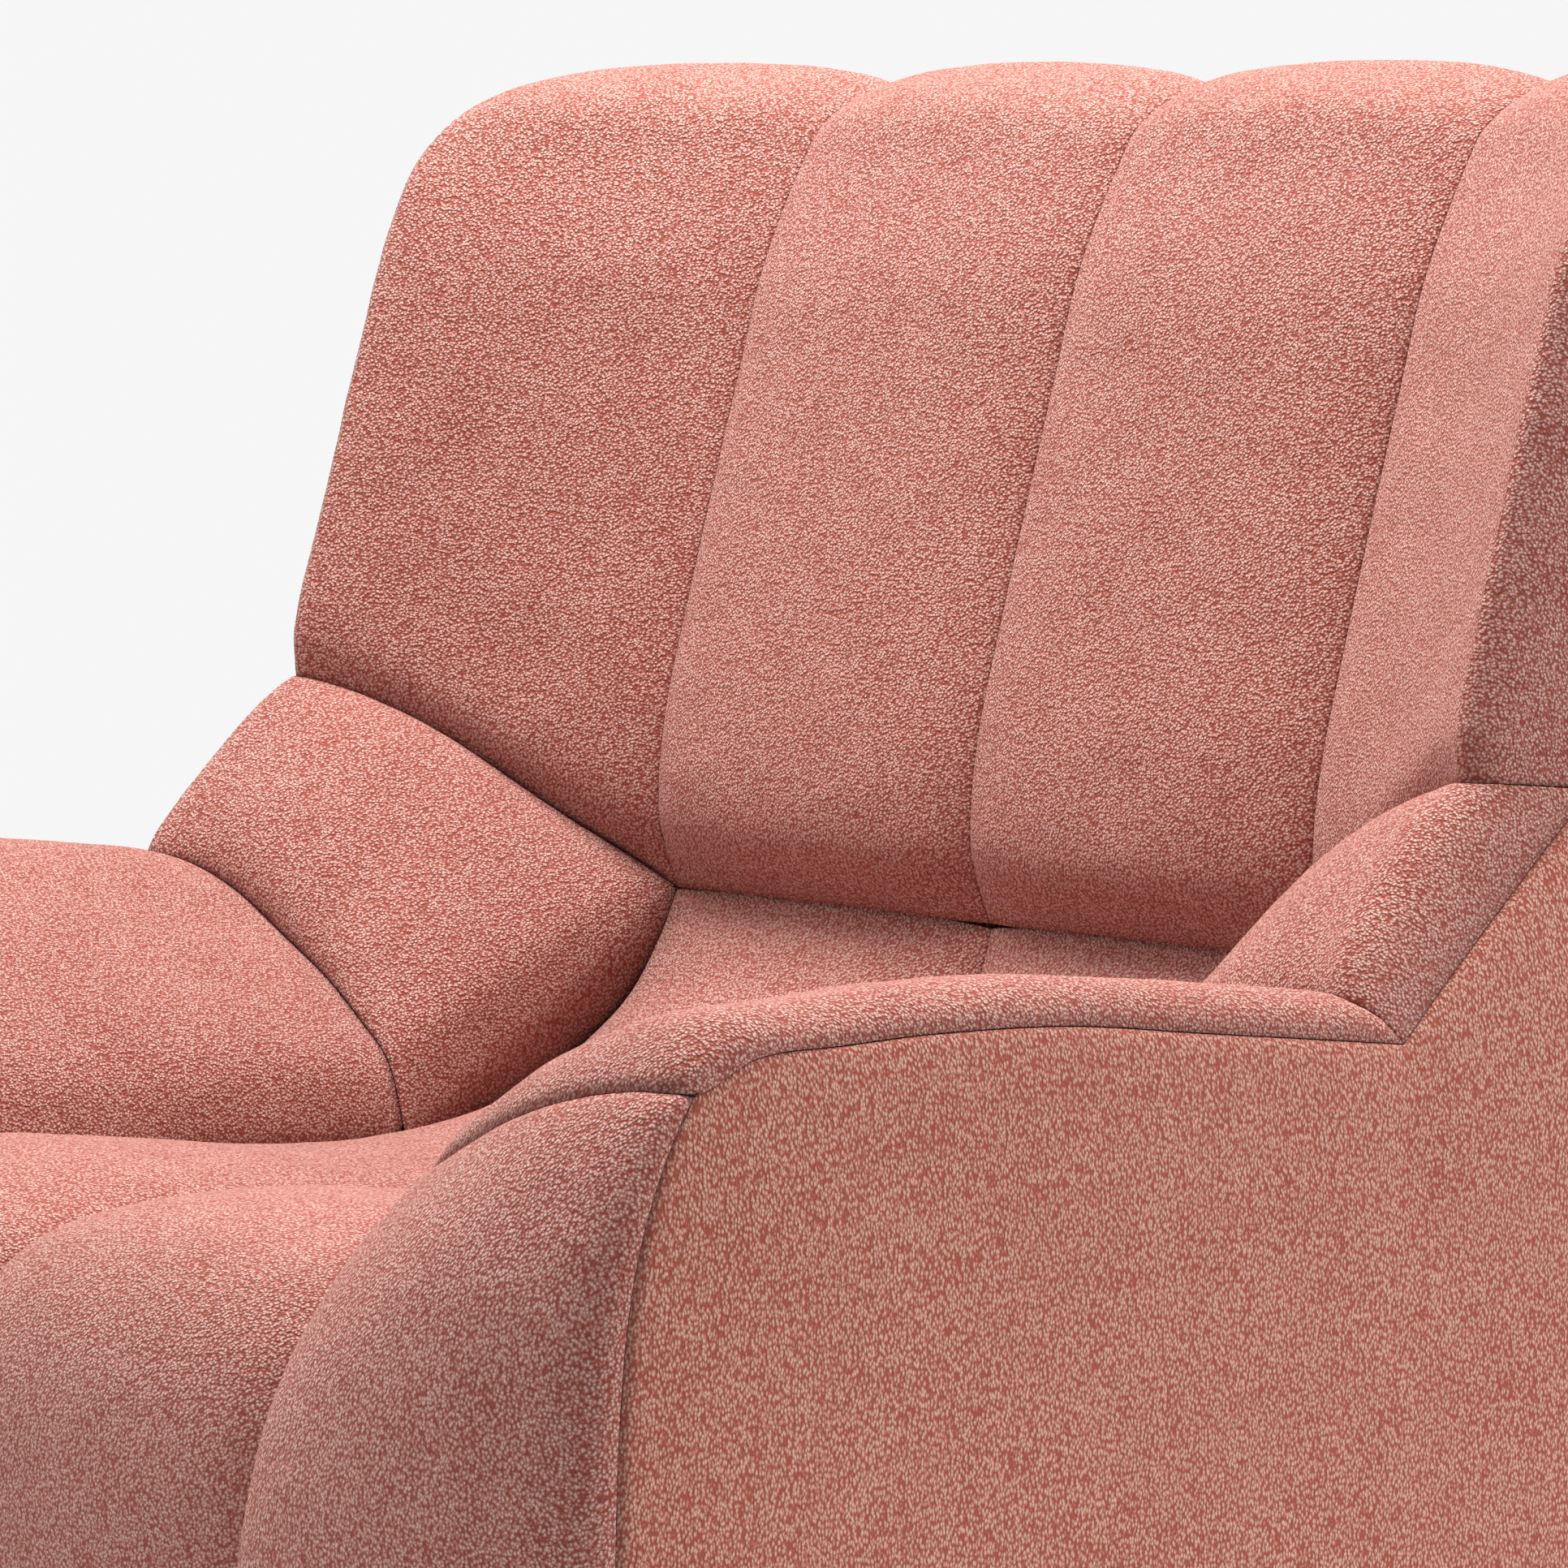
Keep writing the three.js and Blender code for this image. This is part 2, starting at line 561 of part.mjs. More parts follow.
function pins() {
  const rivet = (x0, x1, headIn, headOut) => [
    [0, x0 - gap - headIn], [9, x0 - gap - headIn], [9, x0 - gap], [pinRadius, x0 - gap],
    [pinRadius, x1 + gap], [9, x1 + gap], [9, x1 + gap + headOut], [0, x1 + gap + headOut],
  ];
  const upper = rivet(bracketX, strapX + strapThick, 4, 3.5);
  const lower = rivet(strapX, railX + railThick, 2, 4);
  [['front', -1], ['rear', 1]].forEach(([place, way]) => {
    [['left', 1], ['right', -1]].forEach(([name, side]) => {
      [['upper', upper, pivotHeight], ['lower', lower, lowerPivot]].forEach(([level, profile, z]) => {
        const geometry = turnedX(profile, 16, way * pivotSpan, z);
        if (side < 0) geometry.rotateZ(Math.PI).translate(0, 2 * way * pivotSpan, 0);
        add(`pin_${level}_${place}_${name}`, geometry, 'zinc');
      });
    });
  });
}

function seatRails() {
  const flangeTop = frameBottom - gap;
  const [out, up, low] = [208, 166, lowerPivot - 16];
  const outline = [
    [-out, low], [out, low], [out, flangeTop], [up, flangeTop], [up, low + 36], [-up, low + 36],
    [-up, flangeTop], [-out, flangeTop],
  ];
  const holes = [[pivotSpan, lowerPivot, hole], [-pivotSpan, lowerPivot, hole]];
  [['left', 1], ['right', -1]].forEach(([name, side]) => {
    const web = plateX(outline, holes, side > 0 ? railX : -railX - railThick, railThick);
    const flanges = [-1, 1].map((way) => box(
      46, out - up, 4, side * (railX + 23), way * (out + up) / 2, flangeTop - 4,
    ));
    add(`glide_rail_${name}`, joined([web, ...flanges]), 'steel');
  });
}

// Timber frame and its flat springs
const sideRailX = pitch + 16;
const board = 27;
const backPostX = sideRailX + 98;

function timberFrame() {
  const [front, rear] = [-360, 262];
  add('frame_rail_front', box(2 * (sideRailX - gap), board, railHeight, 0, front, frameBottom), 'timber');
  add('frame_rail_rear', box(2 * (sideRailX - gap), board, railHeight, 0, rear, frameBottom), 'timber');
  [['front', -186], ['rear', 186]].forEach(([name, y]) => {
    add(`mount_slat_${name}`, box(2 * (sideRailX - gap), 70, 20, 0, y, frameBottom), 'timber');
  });
  const sideDepth = 404 - (front - board / 2);
  const sideY = (404 + front - board / 2) / 2;
  [['left', 1], ['right', -1]].forEach(([name, side]) => {
    const x = side * (sideRailX + board / 2);
    add(`frame_rail_${name}`, box(board, sideDepth, railHeight, x, sideY, frameBottom), 'timber');
    const armX = sideRailX + board + gap;
    const armOutline = [
      [-340, frameBottom], [-300, frameBottom], [-300, 394], [330, 394], [330, frameBottom],
      [358, frameBottom], [358, 424], [-340, 424],
    ];
    const sheetThick = 18;
    const armPlate = plateX(armOutline, [], side > 0 ? armX : -armX - sheetThick, sheetThick);
    const shelf = box(100, 380, 18, side * (armX + sheetThick + 49), -130, 406);
    add(`arm_frame_${name}`, joined([armPlate, shelf]), 'timber');
    const postX = backPostX;
    const low = 366;
    const postLean = 49;
    const post = plateX([
      [low, frameBottom], [low + 26, frameBottom], [low + 26 + postLean * 0.45, 560],
      [low + 26 + postLean, 930], [low + postLean, 930], [low + postLean * 0.45, 560],
    ], [], side > 0 ? postX : -postX - 30, 30);
    add(`back_post_${name}`, post, 'timber');
  });
  const inside = 2 * (backPostX - gap);
  add('back_rail_top', box(inside, 22, 40, 0, 429, 888), 'timber');
  add('back_rail_middle', box(inside, 22, 60, 0, 406, 560), 'timber');
  [-195, -70, 70, 195].forEach((x, k) => {
    const points = [];
    const bends = 15;
    const [from, to] = [front + board / 2 - 16, rear - board / 2 + 16];
    for (let n = 0; n <= bends; n += 1) {
      const y = lerp(from, to, n / bends);
      const swing = n === 0 || n === bends ? 0 : 22 * (n % 2 ? 1 : -1);
      points.push([x + swing, y]);
    }
    const wire = 3;
    const sideA = points.map(([px, py]) => new THREE.Vector2(px - wire, py));
    const sideB = points.map(([px, py]) => new THREE.Vector2(px + wire, py)).reverse();
    const outline = new THREE.Shape([...sideA, ...sideB]);
    const ribbon = new THREE.ExtrudeGeometry(outline, { depth: springThick, bevelEnabled: false });
    ribbon.translate(0, 0, railTop + gap);
    add(`seat_spring_${k + 1}`, ribbon, 'zinc');
  });
  add('dust_cover', box(2 * 164, 560, 2, 0, -49, frameBottom - gap - 2), 'lining');
}

backPads();
armPads();
cornerPads();
seatPads();
armFacings();
sidePanels();
backPanel();
timberFrame();
swivelBase();
turntable();
yoke('yoke_front', -pivotSpan);
yoke('yoke_rear', pivotSpan);
pins();
seatRails();

export default chair;
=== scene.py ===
# %% [markdown]
# # A swivel glider armchair in looped boucle
# The chair is a timber frame on a steel glider, wrapped in sewn pads of foam under a looped
# boucle cloth. The frame file holds its exact solids, in metres, with the origin on the floor
# under the swivel and +Z up. This lesson keeps the hard parts as they are, gives each a finish,
# and makes every soft part again as a finer, fuller form with its own cloth.

import bisect
import json
import math

import bmesh
import bpy
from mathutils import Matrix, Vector, noise


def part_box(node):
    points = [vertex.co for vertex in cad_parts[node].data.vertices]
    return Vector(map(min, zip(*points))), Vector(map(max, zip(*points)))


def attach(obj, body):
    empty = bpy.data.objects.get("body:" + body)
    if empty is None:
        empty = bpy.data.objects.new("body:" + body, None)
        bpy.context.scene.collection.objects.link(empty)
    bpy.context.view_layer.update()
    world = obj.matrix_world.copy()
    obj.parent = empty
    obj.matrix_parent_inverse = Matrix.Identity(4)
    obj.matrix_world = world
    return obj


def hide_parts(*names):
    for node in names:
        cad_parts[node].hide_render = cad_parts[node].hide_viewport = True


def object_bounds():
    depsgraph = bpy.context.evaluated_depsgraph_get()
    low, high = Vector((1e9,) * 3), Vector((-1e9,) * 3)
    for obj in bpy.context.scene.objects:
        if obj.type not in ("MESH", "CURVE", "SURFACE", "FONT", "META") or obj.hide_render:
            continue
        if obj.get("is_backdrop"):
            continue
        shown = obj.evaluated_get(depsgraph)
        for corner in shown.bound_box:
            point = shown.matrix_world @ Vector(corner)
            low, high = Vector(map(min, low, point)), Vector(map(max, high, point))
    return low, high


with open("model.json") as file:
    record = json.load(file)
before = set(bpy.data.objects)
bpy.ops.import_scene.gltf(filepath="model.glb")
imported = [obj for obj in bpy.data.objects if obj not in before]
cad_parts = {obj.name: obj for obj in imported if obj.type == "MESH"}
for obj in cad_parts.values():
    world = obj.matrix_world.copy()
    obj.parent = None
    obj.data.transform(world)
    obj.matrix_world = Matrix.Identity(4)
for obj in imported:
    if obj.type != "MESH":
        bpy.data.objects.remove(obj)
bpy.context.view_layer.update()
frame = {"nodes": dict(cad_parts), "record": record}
nodes = frame["nodes"]

# %% [markdown]
# ## Camera
# The chair is seen from its left front, from about chair height and from some way off, so that
# verticals stay upright and the near arm doesn't loom. A long lens does that. No shift and no
# depth of field are needed.

# %% Camera
camera_data = bpy.data.cameras.new("studio_camera")
camera_data.lens = 186.34
camera_data.sensor_width = 36
camera = bpy.data.objects.new("studio_camera", camera_data)
camera.location = (3.3136, -2.6449, 0.9856)
camera.rotation_euler = (math.radians(85.2), 0, math.radians(50.3))
bpy.context.scene.collection.objects.link(camera)
bpy.context.scene.camera = camera

# %% [markdown]
# ## Sizes
# The solids were drawn in millimetres, so the pads are worked out in millimetres too and turned
# into metres when their mesh is made. The main sizes are read off the frame's own boxes.

# %% Sizes
MM = 0.001
half_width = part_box("side_panel_left")[1].x / MM
half_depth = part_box("back_panel")[1].y / MM
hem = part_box("seat_pad_left")[0].z / MM
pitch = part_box("back_pad_outer_left")[0].x / MM - 0.3
back_crown = 20
seam_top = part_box("back_pad_inner_left")[1].z / MM - 0.8 * back_crown - 7
arm_crown = 578
seam_gap = 0.6
print("half width", round(half_width), "half depth", round(half_depth), "pitch", round(pitch))


def lerp(a, b, t):
    return a + (b - a) * t


def smooth(table):
    """A curve through [input, output] pairs that doesn't swing past them."""
    xs = [pair[0] for pair in table]
    ys = [pair[1] for pair in table]
    rise = [(ys[k + 1] - ys[k]) / (xs[k + 1] - xs[k]) for k in range(len(xs) - 1)]
    slope = [rise[0]]
    slope += [0 if a * b <= 0 else 2 * a * b / (a + b) for a, b in zip(rise, rise[1:])]
    slope.append(rise[-1])

    def curve(x):
        if x <= xs[0]:
            return ys[0]
        if x >= xs[-1]:
            return ys[-1]
        k = bisect.bisect_right(xs, x) - 1
        step = xs[k + 1] - xs[k]
        t = (x - xs[k]) / step
        start = (1 + 2 * t) * (1 - t) ** 2 * ys[k] + t * (1 - t) ** 2 * step * slope[k]
        end = t * t * (3 - 2 * t) * ys[k + 1] + t * t * (t - 1) * step * slope[k + 1]
        return start + end

    return curve


# %% [markdown]
# ## From a few lines to a fine cloth
# Each pad is described by a small grid of points on its outer face and a matching grid inside.
# A smooth curve through every line of the grid gives as many points as the cloth needs. Both
# grids are read at the same places, so that the pad stays one closed form.


# %% Grids
def running(lines):
    """Mean length run so far at each point, over a set of matching lines."""
    run = [0.0]
    for k in range(1, len(lines[0])):
        step = sum((line[k] - line[k - 1]).length for line in lines) / len(lines)
        run.append(run[-1] + step)
    return run


def curve_through(line, run, places):
    """Points at the given places on a smooth curve through the line."""
    last = len(line) - 1
    slope = []
    for k in range(len(line)):
        a = max(0, k - 1)
        b = min(last, k + 1)
        slope.append((line[b] - line[a]) / (run[b] - run[a]))
    points = []
    for place in places:
        k = min(bisect.bisect_right(run, place), last) - 1
        step = run[k + 1] - run[k]
        t = (place - run[k]) / step
        start = line[k] * ((1 + 2 * t) * (1 - t) ** 2) + slope[k] * (t * (1 - t) ** 2 * step)
        end = line[k + 1] * (t * t * (3 - 2 * t)) + slope[k + 1] * (t * t * (t - 1) * step)
        points.append(start + end)
    return points


def finer(outer, inner, spacing):
    """Both grids, with their lines read again at an even spacing."""
    run = running(outer)
    count = round(run[-1] / spacing)
    places = [run[-1] * k / count for k in range(count + 1)]
    made = [[curve_through(line, run, places) for line in grid] for grid in (outer, inner)]
    return made[0], made[1]


def crossed(grid):
    return [list(line) for line in zip(*grid)]


def finer_both(outer, inner, spacing):
    """The same in both directions."""
    outer, inner = finer(outer, inner, spacing)
    outer, inner = finer(crossed(outer), crossed(inner), spacing)
    return crossed(outer), crossed(inner)


def sided(grid, side):
    return [[Vector((side * p.x, p.y, p.z)) for p in line] for line in grid]


def stations(count):
    """Steps from 0 to 1 that crowd together at both ends, where the cloth curves most."""
    return [(1 - math.cos(math.pi * k / (count - 1))) / 2 for k in range(count)]


def matching(values):
    """A smooth reading of a list of values that belong to evenly numbered places."""
    return smooth(list(enumerate(values)))


def swell(u):
    """Section of a stuffed channel, 0 at its two seams and 1 in the middle."""
    return max(0.0, 1 - abs(2 * u - 1) ** 2.4) ** 0.62


# %% [markdown]
# ## Seams and give
# A sewn seam holds the cloth down, so a pad's face rises from it in a small round shoulder, with
# slight puckers along the thread. Away from the seams the foam is never quite even. All three
# are moves of the points along the face's own normal, and the seam itself stays where it is, so
# that two neighbours still meet.


# %% Seams
def stuffed(outer, inner, shoulders, rise=0.0, lump=0.9, pucker=0.9):
    """The outer grid raised between its seams, slightly uneven and gathered along them.
    shoulders are how wide the raised edge is at the first line, the last line, the lines'
    starts and the lines' ends."""
    lines = len(outer)
    count = len(outer[0])
    along = [lengths(line) for line in outer]
    across = [lengths(line) for line in crossed(outer)]
    made = []
    for i in range(lines):
        line = []
        for j in range(count):
            over = outer[min(i + 1, lines - 1)][j] - outer[max(i - 1, 0)][j]
            down = outer[i][min(j + 1, count - 1)] - outer[i][max(j - 1, 0)]
            normal = over.cross(down).normalized()
            if normal.dot(inner[i][j] - outer[i][j]) > 0:
                normal.negate()
            reach = (
                across[j][i], across[j][-1] - across[j][i],
                along[i][j], along[i][-1] - along[i][j],
            )
            near = min(reach)
            lift = rise
            for far, width in zip(reach, shoulders):
                part = max(0.0, 1 - far / width)
                lift *= math.sqrt(1 - part * part)
            place = outer[i][j]
            wave = noise.noise(place * 0.022) + 0.5 * noise.noise(place * 0.05 + Vector((9, 4, 7)))
            gather = 0.5 + 0.5 * noise.noise(place * 0.09 + Vector((3, 8, 1)))
            lift += lump * wave * min(1.0, near / 35)
            lift -= pucker * gather * math.exp(-((near - 10) / 9) ** 2) * min(1.0, near / 4)
            line.append(place + normal * lift)
        made.append(line)
    return made


def lengths(line):
    """How far along the line each of its points is."""
    run = [0.0]
    for a, b in zip(line, line[1:]):
        run.append(run[-1] + (b - a).length)
    return run


# %% [markdown]
# ## Closing a pad
# The outer and the inner face are joined round their rim into one closed mesh. A UV map keeps
# how far each point lies across and along the pad, in metres, so that stitching can follow it.


# %% Closing
def closed_pad(name, outer, inner):
    """Closed mesh object between two matching grids of points in millimetres."""
    work = bmesh.new()
    rows = [[work.verts.new(p * MM) for p in line] for line in outer]
    under = [[work.verts.new(p * MM) for p in line] for line in inner]
    last = len(rows) - 1
    end = len(rows[0]) - 1
    cloth = work.loops.layers.uv.new("cloth")
    place = {}
    for i, line in enumerate(outer):
        run = 0.0
        for j, p in enumerate(line):
            run += (p - line[j - 1]).length if j else 0.0
            side = (outer[i][j] - outer[0][j]).length
            place[rows[i][j]] = (side * MM, run * MM)
            place[under[i][j]] = (side * MM, run * MM)
    quads = []
    for i in range(last):
        for j in range(end):
            quads.append((rows[i][j], rows[i + 1][j], rows[i + 1][j + 1], rows[i][j + 1]))
            quads.append((under[i][j], under[i][j + 1], under[i + 1][j + 1], under[i + 1][j]))
    for i in range(last):
        quads.append((rows[i][0], under[i][0], under[i + 1][0], rows[i + 1][0]))
        quads.append((rows[i][end], rows[i + 1][end], under[i + 1][end], under[i][end]))
    for j in range(end):
        quads.append((rows[0][j], rows[0][j + 1], under[0][j + 1], under[0][j]))
        quads.append((rows[last][j], under[last][j], under[last][j + 1], rows[last][j + 1]))
    for corners in quads:
        face = work.faces.new(corners)
        face.smooth = True
        for loop in face.loops:
            loop[cloth].uv = place[loop.vert]
    bmesh.ops.recalc_face_normals(work, faces=work.faces)
    mesh = bpy.data.meshes.new(name)
    work.to_mesh(mesh)
    work.free()
    made = bpy.data.objects.new(name, mesh)
    bpy.context.scene.collection.objects.link(made)
    return made


def upholster(name, outer, inner, material, shoulders, node, fill=0.8, **seams):
    """A finished pad: raised face, cloth, body and the CAD node that it stands for."""
    made = closed_pad(name, stuffed(outer, inner, shoulders, **seams), inner)
    made.data.materials.append(material)
    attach(made, "seat")
    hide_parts(node)
    low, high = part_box(node)
    own = [made.data.vertices[k].co for k in range(len(made.data.vertices))]
    out = max(
        max(low[k] - min(p[k] for p in own), max(p[k] for p in own) - high[k]) for k in range(3)
    )
    print(f"{name}: {len(made.data.polygons)} faces, {out / MM:.1f} mm past its solid's box")


def both_sides(name, outer, inner, material, shoulders, kind="cushion", **options):
    """The left and the right copy of a pad, for the nodes that are named after it."""
    for side, sign in (("left", 1), ("right", -1)):
        upholster(
            f"{name}_{kind}_{side}", sided(outer, sign), sided(inner, sign), material, shoulders,
            f"{name}_{side}", **options,
        )


# %% [markdown]
# ## Building finishes from nodes
# Each material is a tree of shader nodes. One small helper places a node, sets its options and
# either links an input or gives it a value.


# %% Nodes
def place(tree, kind, inputs=None, **options):
    """One shader node with its options set and its inputs linked or given."""
    made = tree.nodes.new("ShaderNode" + kind)
    for key, value in options.items():
        setattr(made, key, value)
    for key, value in (inputs or {}).items():
        if isinstance(value, bpy.types.NodeSocket):
            tree.links.new(value, made.inputs[key])
        else:
            made.inputs[key].default_value = value
    return made


def maths(tree, operation, a, b=0.0, clamp=False):
    return place(tree, "Math", {0: a, 1: b}, operation=operation, use_clamp=clamp).outputs[0]


def ramped(tree, value, low, high, start=0.0, end=1.0):
    """Value between low and high turned smoothly into start to end."""
    made = place(tree, "MapRange", {"Value": value}, interpolation_type="SMOOTHSTEP")
    made.inputs["From Min"].default_value = low
    made.inputs["From Max"].default_value = high
    made.inputs["To Min"].default_value = start
    made.inputs["To Max"].default_value = end
    return made.outputs["Result"]


def blended(tree, factor, a, b, mode="MIX"):
    made = place(tree, "Mix", {0: factor, 6: a, 7: b}, data_type="RGBA", blend_type=mode)
    return made.outputs[2]


def new_group(name, inputs, outputs):
    """Empty node group with named sockets."""
    group = bpy.data.node_groups.new(name, "ShaderNodeTree")
    for label, kind in inputs:
        group.interface.new_socket(name=label, in_out="INPUT", socket_type="NodeSocket" + kind)
    for label, kind in outputs:
        group.interface.new_socket(name=label, in_out="OUTPUT", socket_type="NodeSocket" + kind)
    given = group.nodes.new("NodeGroupInput").outputs
    result = group.nodes.new("NodeGroupOutput").inputs
    return group, given, result


def new_material(name, roughness, metallic=0.0, sheen=0.0):
    """Material with its own Principled shader and the piece's own coordinates."""
    made = bpy.data.materials.new(name)
    made.use_nodes = True
    tree = made.node_tree
    tree.nodes.clear()
    shader = place(tree, "BsdfPrincipled", {"Roughness": roughness, "Metallic": metallic})
    shader.inputs["Sheen Weight"].default_value = sheen
    surface = place(tree, "OutputMaterial")
    tree.links.new(shader.outputs[0], surface.inputs["Surface"])
    here = place(tree, "TexCoord").outputs["Object"]
    return made, tree, shader, here


def dressed(tree, shader, colour, height, strength, distance, roughness=None):
    """Links a finish's colour, its height through a bump and, where it varies, its roughness."""
    tree.links.new(colour, shader.inputs["Base Color"])
    if roughness:
        tree.links.new(roughness, shader.inputs["Roughness"])
    bump = place(tree, "Bump", {"Height": height, "Strength": strength, "Distance": distance})
    tree.links.new(bump.outputs[0], shader.inputs["Normal"])


# %% [markdown]
# ## Boucle
# Boucle is woven from a yarn with loops, so the face is a field of little curled knots a little
# under two millimetres across. Its colour follows the knots' height: a painted highlight makes
# their tips pale and painted shade keeps the gaps between them brick red. A cell pattern with
# bent coordinates gives the knots, a finer one the twist of the yarn, and slow noise the uneven
# density of real cloth. It is one group, so that the sewn pads and the flatter outer panels can
# use it with their own values.

# %% Boucle group
boucle, given, result = new_group(
    "looped_yarn",
    (
        ("Place", "Vector"), ("Loops per metre", "Float"), ("Bend", "Float"), ("Contrast", "Float"),
        ("Gap shade", "Color"), ("Yarn", "Color"), ("Tip highlight", "Color"),
    ),
    (("Colour", "Color"), ("Height", "Float")),
)
drift = place(boucle, "TexNoise", {"Vector": given["Place"], "Scale": 170.0, "Detail": 1.0})
middle_grey = (0.5, 0.5, 0.5)
shift = place(
    boucle, "VectorMath", {0: drift.outputs["Color"], 1: middle_grey}, operation="SUBTRACT",
)
pull = place(boucle, "VectorMath", {0: shift.outputs[0], "Scale": given["Bend"]}, operation="SCALE")
moved = place(boucle, "VectorMath", {0: given["Place"], 1: pull.outputs[0]}, operation="ADD")
bent = moved.outputs[0]
knots = place(boucle, "TexVoronoi", {"Vector": bent, "Scale": given["Loops per metre"]})
fine_scale = maths(boucle, "MULTIPLY", given["Loops per metre"], 2.1)
twist = place(boucle, "TexVoronoi", {"Vector": bent, "Scale": fine_scale})
fibre = place(boucle, "TexNoise", {"Vector": given["Place"], "Scale": 1500.0, "Detail": 2.0})
dense = place(boucle, "TexNoise", {"Vector": given["Place"], "Scale": 26.0, "Detail": 3.0})
dome = ramped(boucle, knots.outputs["Distance"], 0.1, 0.8, 1.0, 0.0)
strand = ramped(boucle, twist.outputs["Distance"], 0.1, 0.8, 1.0, 0.0)
coarse = maths(boucle, "MULTIPLY", dome, 0.72)
middle = maths(boucle, "MULTIPLY", strand, 0.16)
hair = maths(boucle, "MULTIPLY", fibre.outputs["Fac"], 0.16)
height = maths(boucle, "ADD", maths(boucle, "ADD", coarse, middle), hair)
pale = place(boucle, "SeparateColor", {0: knots.outputs["Color"]})
chance = maths(boucle, "MULTIPLY", pale.outputs[0], 0.16)
thick = maths(boucle, "MULTIPLY", maths(boucle, "SUBTRACT", dense.outputs["Fac"], 0.5), 0.14)
shown = maths(boucle, "ADD", maths(boucle, "ADD", height, chance), thick)
spread = maths(boucle, "MULTIPLY", maths(boucle, "SUBTRACT", shown, 0.56), given["Contrast"])
level = maths(boucle, "ADD", spread, 0.5)
# Painted shade and highlight: where the loops are low the gap colour is mixed in as painted shade,
# where they are high the tip colour as a painted highlight, with the yarn colour between; the
# per-knot chance and the density noise only vary the tone.
body = blended(boucle, ramped(boucle, level, 0.05, 0.5), given["Gap shade"], given["Yarn"])
yarn_with_painted_light = blended(boucle, ramped(boucle, level, 0.5, 1.0), body, given["Tip highlight"])
boucle.links.new(yarn_with_painted_light, result["Colour"])
boucle.links.new(height, result["Height"])

# %% [markdown]
# ## Three uses of the cloth
# The pads and the facings share one yarn, with painted shade that keeps the gaps brick and a
# painted highlight that makes the tips pale. The outer panels are pulled flatter, so their loops
# are lower, narrower and a little browner. Only the facings have a sewn line, darkened with
# painted shade in its groove.


# %% Boucle materials
# The gap colour is painted shade between the loops and the tip colour a painted highlight on their
# tops.
def boucle_material(name, loops, contrast, gap_shade, yarn, tip_highlight, relief, stretch, stitch=0.0):
    """Boucle cloth. stretch lengthens the knots along Z, and stitch is how far a sewn line runs
    from the pad's first edge, in metres."""
    made, tree, shader, here = new_material(name, 0.95, sheen=0.15)
    shader.inputs["Sheen Roughness"].default_value = 0.4
    shader.inputs["Sheen Tint"].default_value = (1.0, 0.80, 0.74, 1)
    shader.inputs["Specular IOR Level"].default_value = 0.25
    mapping = place(tree, "Mapping", {"Vector": here, "Scale": (1, 1, stretch)})
    cloth = place(tree, "Group", node_tree=boucle)
    tree.links.new(mapping.outputs[0], cloth.inputs["Place"])
    for key, value in (
        ("Loops per metre", loops), ("Bend", 0.0008), ("Contrast", contrast),
        ("Gap shade", gap_shade), ("Yarn", yarn), ("Tip highlight", tip_highlight),
    ):
        cloth.inputs[key].default_value = value
    colour = cloth.outputs["Colour"]
    height = cloth.outputs["Height"]
    if stitch:
        flat = place(tree, "UVMap", uv_map="cloth")
        across = place(tree, "SeparateXYZ", {0: flat.outputs[0]}).outputs[0]
        off = maths(tree, "ABSOLUTE", maths(tree, "SUBTRACT", across, stitch))
        line = ramped(tree, off, 0.0006, 0.0042, 1.0, 0.0)
        # The sewn line is lowered in the bump and darkened towards the gap colour, as painted shade
        # in its groove.
        colour = blended(tree, maths(tree, "MULTIPLY", line, 0.75), colour, gap_shade)
        height = maths(tree, "SUBTRACT", height, maths(tree, "MULTIPLY", line, 2.2))
    dressed(tree, shader, colour, height, 0.9, relief)
    return made


# Pad colours: the brick gap colour is painted shade between the loops, salmon is the yarn itself and
# the pale shell tip colour is a painted highlight on the loop tops.
pad_gap_shade = (0.25, 0.050, 0.034, 1)
salmon = (0.47, 0.190, 0.150, 1)
pad_tip_highlight = (0.67, 0.43, 0.375, 1)
pad_shade_yarn_highlight = (pad_gap_shade, salmon, pad_tip_highlight)
pad_cloth = boucle_material("boucle_pads", 590.0, 1.15, *pad_shade_yarn_highlight, 0.0019, 1.0)
facing_cloth = boucle_material("boucle_facing", 570.0, 1.15, *pad_shade_yarn_highlight, 0.0018, 0.9, 0.010)
# Panel colours: the clay gap colour is painted shade between the loops, sand is the yarn itself and
# the oat tip colour is a painted highlight on the loop tops.
panel_gap_shade = (0.33, 0.072, 0.048, 1)
sand = (0.50, 0.210, 0.155, 1)
panel_tip_highlight = (0.66, 0.375, 0.29, 1)
panel_cloth = boucle_material("boucle_panels", 640.0, 1.35, panel_gap_shade, sand, panel_tip_highlight, 0.0014, 0.65)
print("cloths made")

# %% [markdown]
# ## Back pads
# Two channels in the middle and one wing on each side. They start low behind the seat, lean back
# and roll over the top. The wings turn forward and drop away to their outer seam. Every width
# across a pad gets its own column of points, from the seat up and over to the back panel.

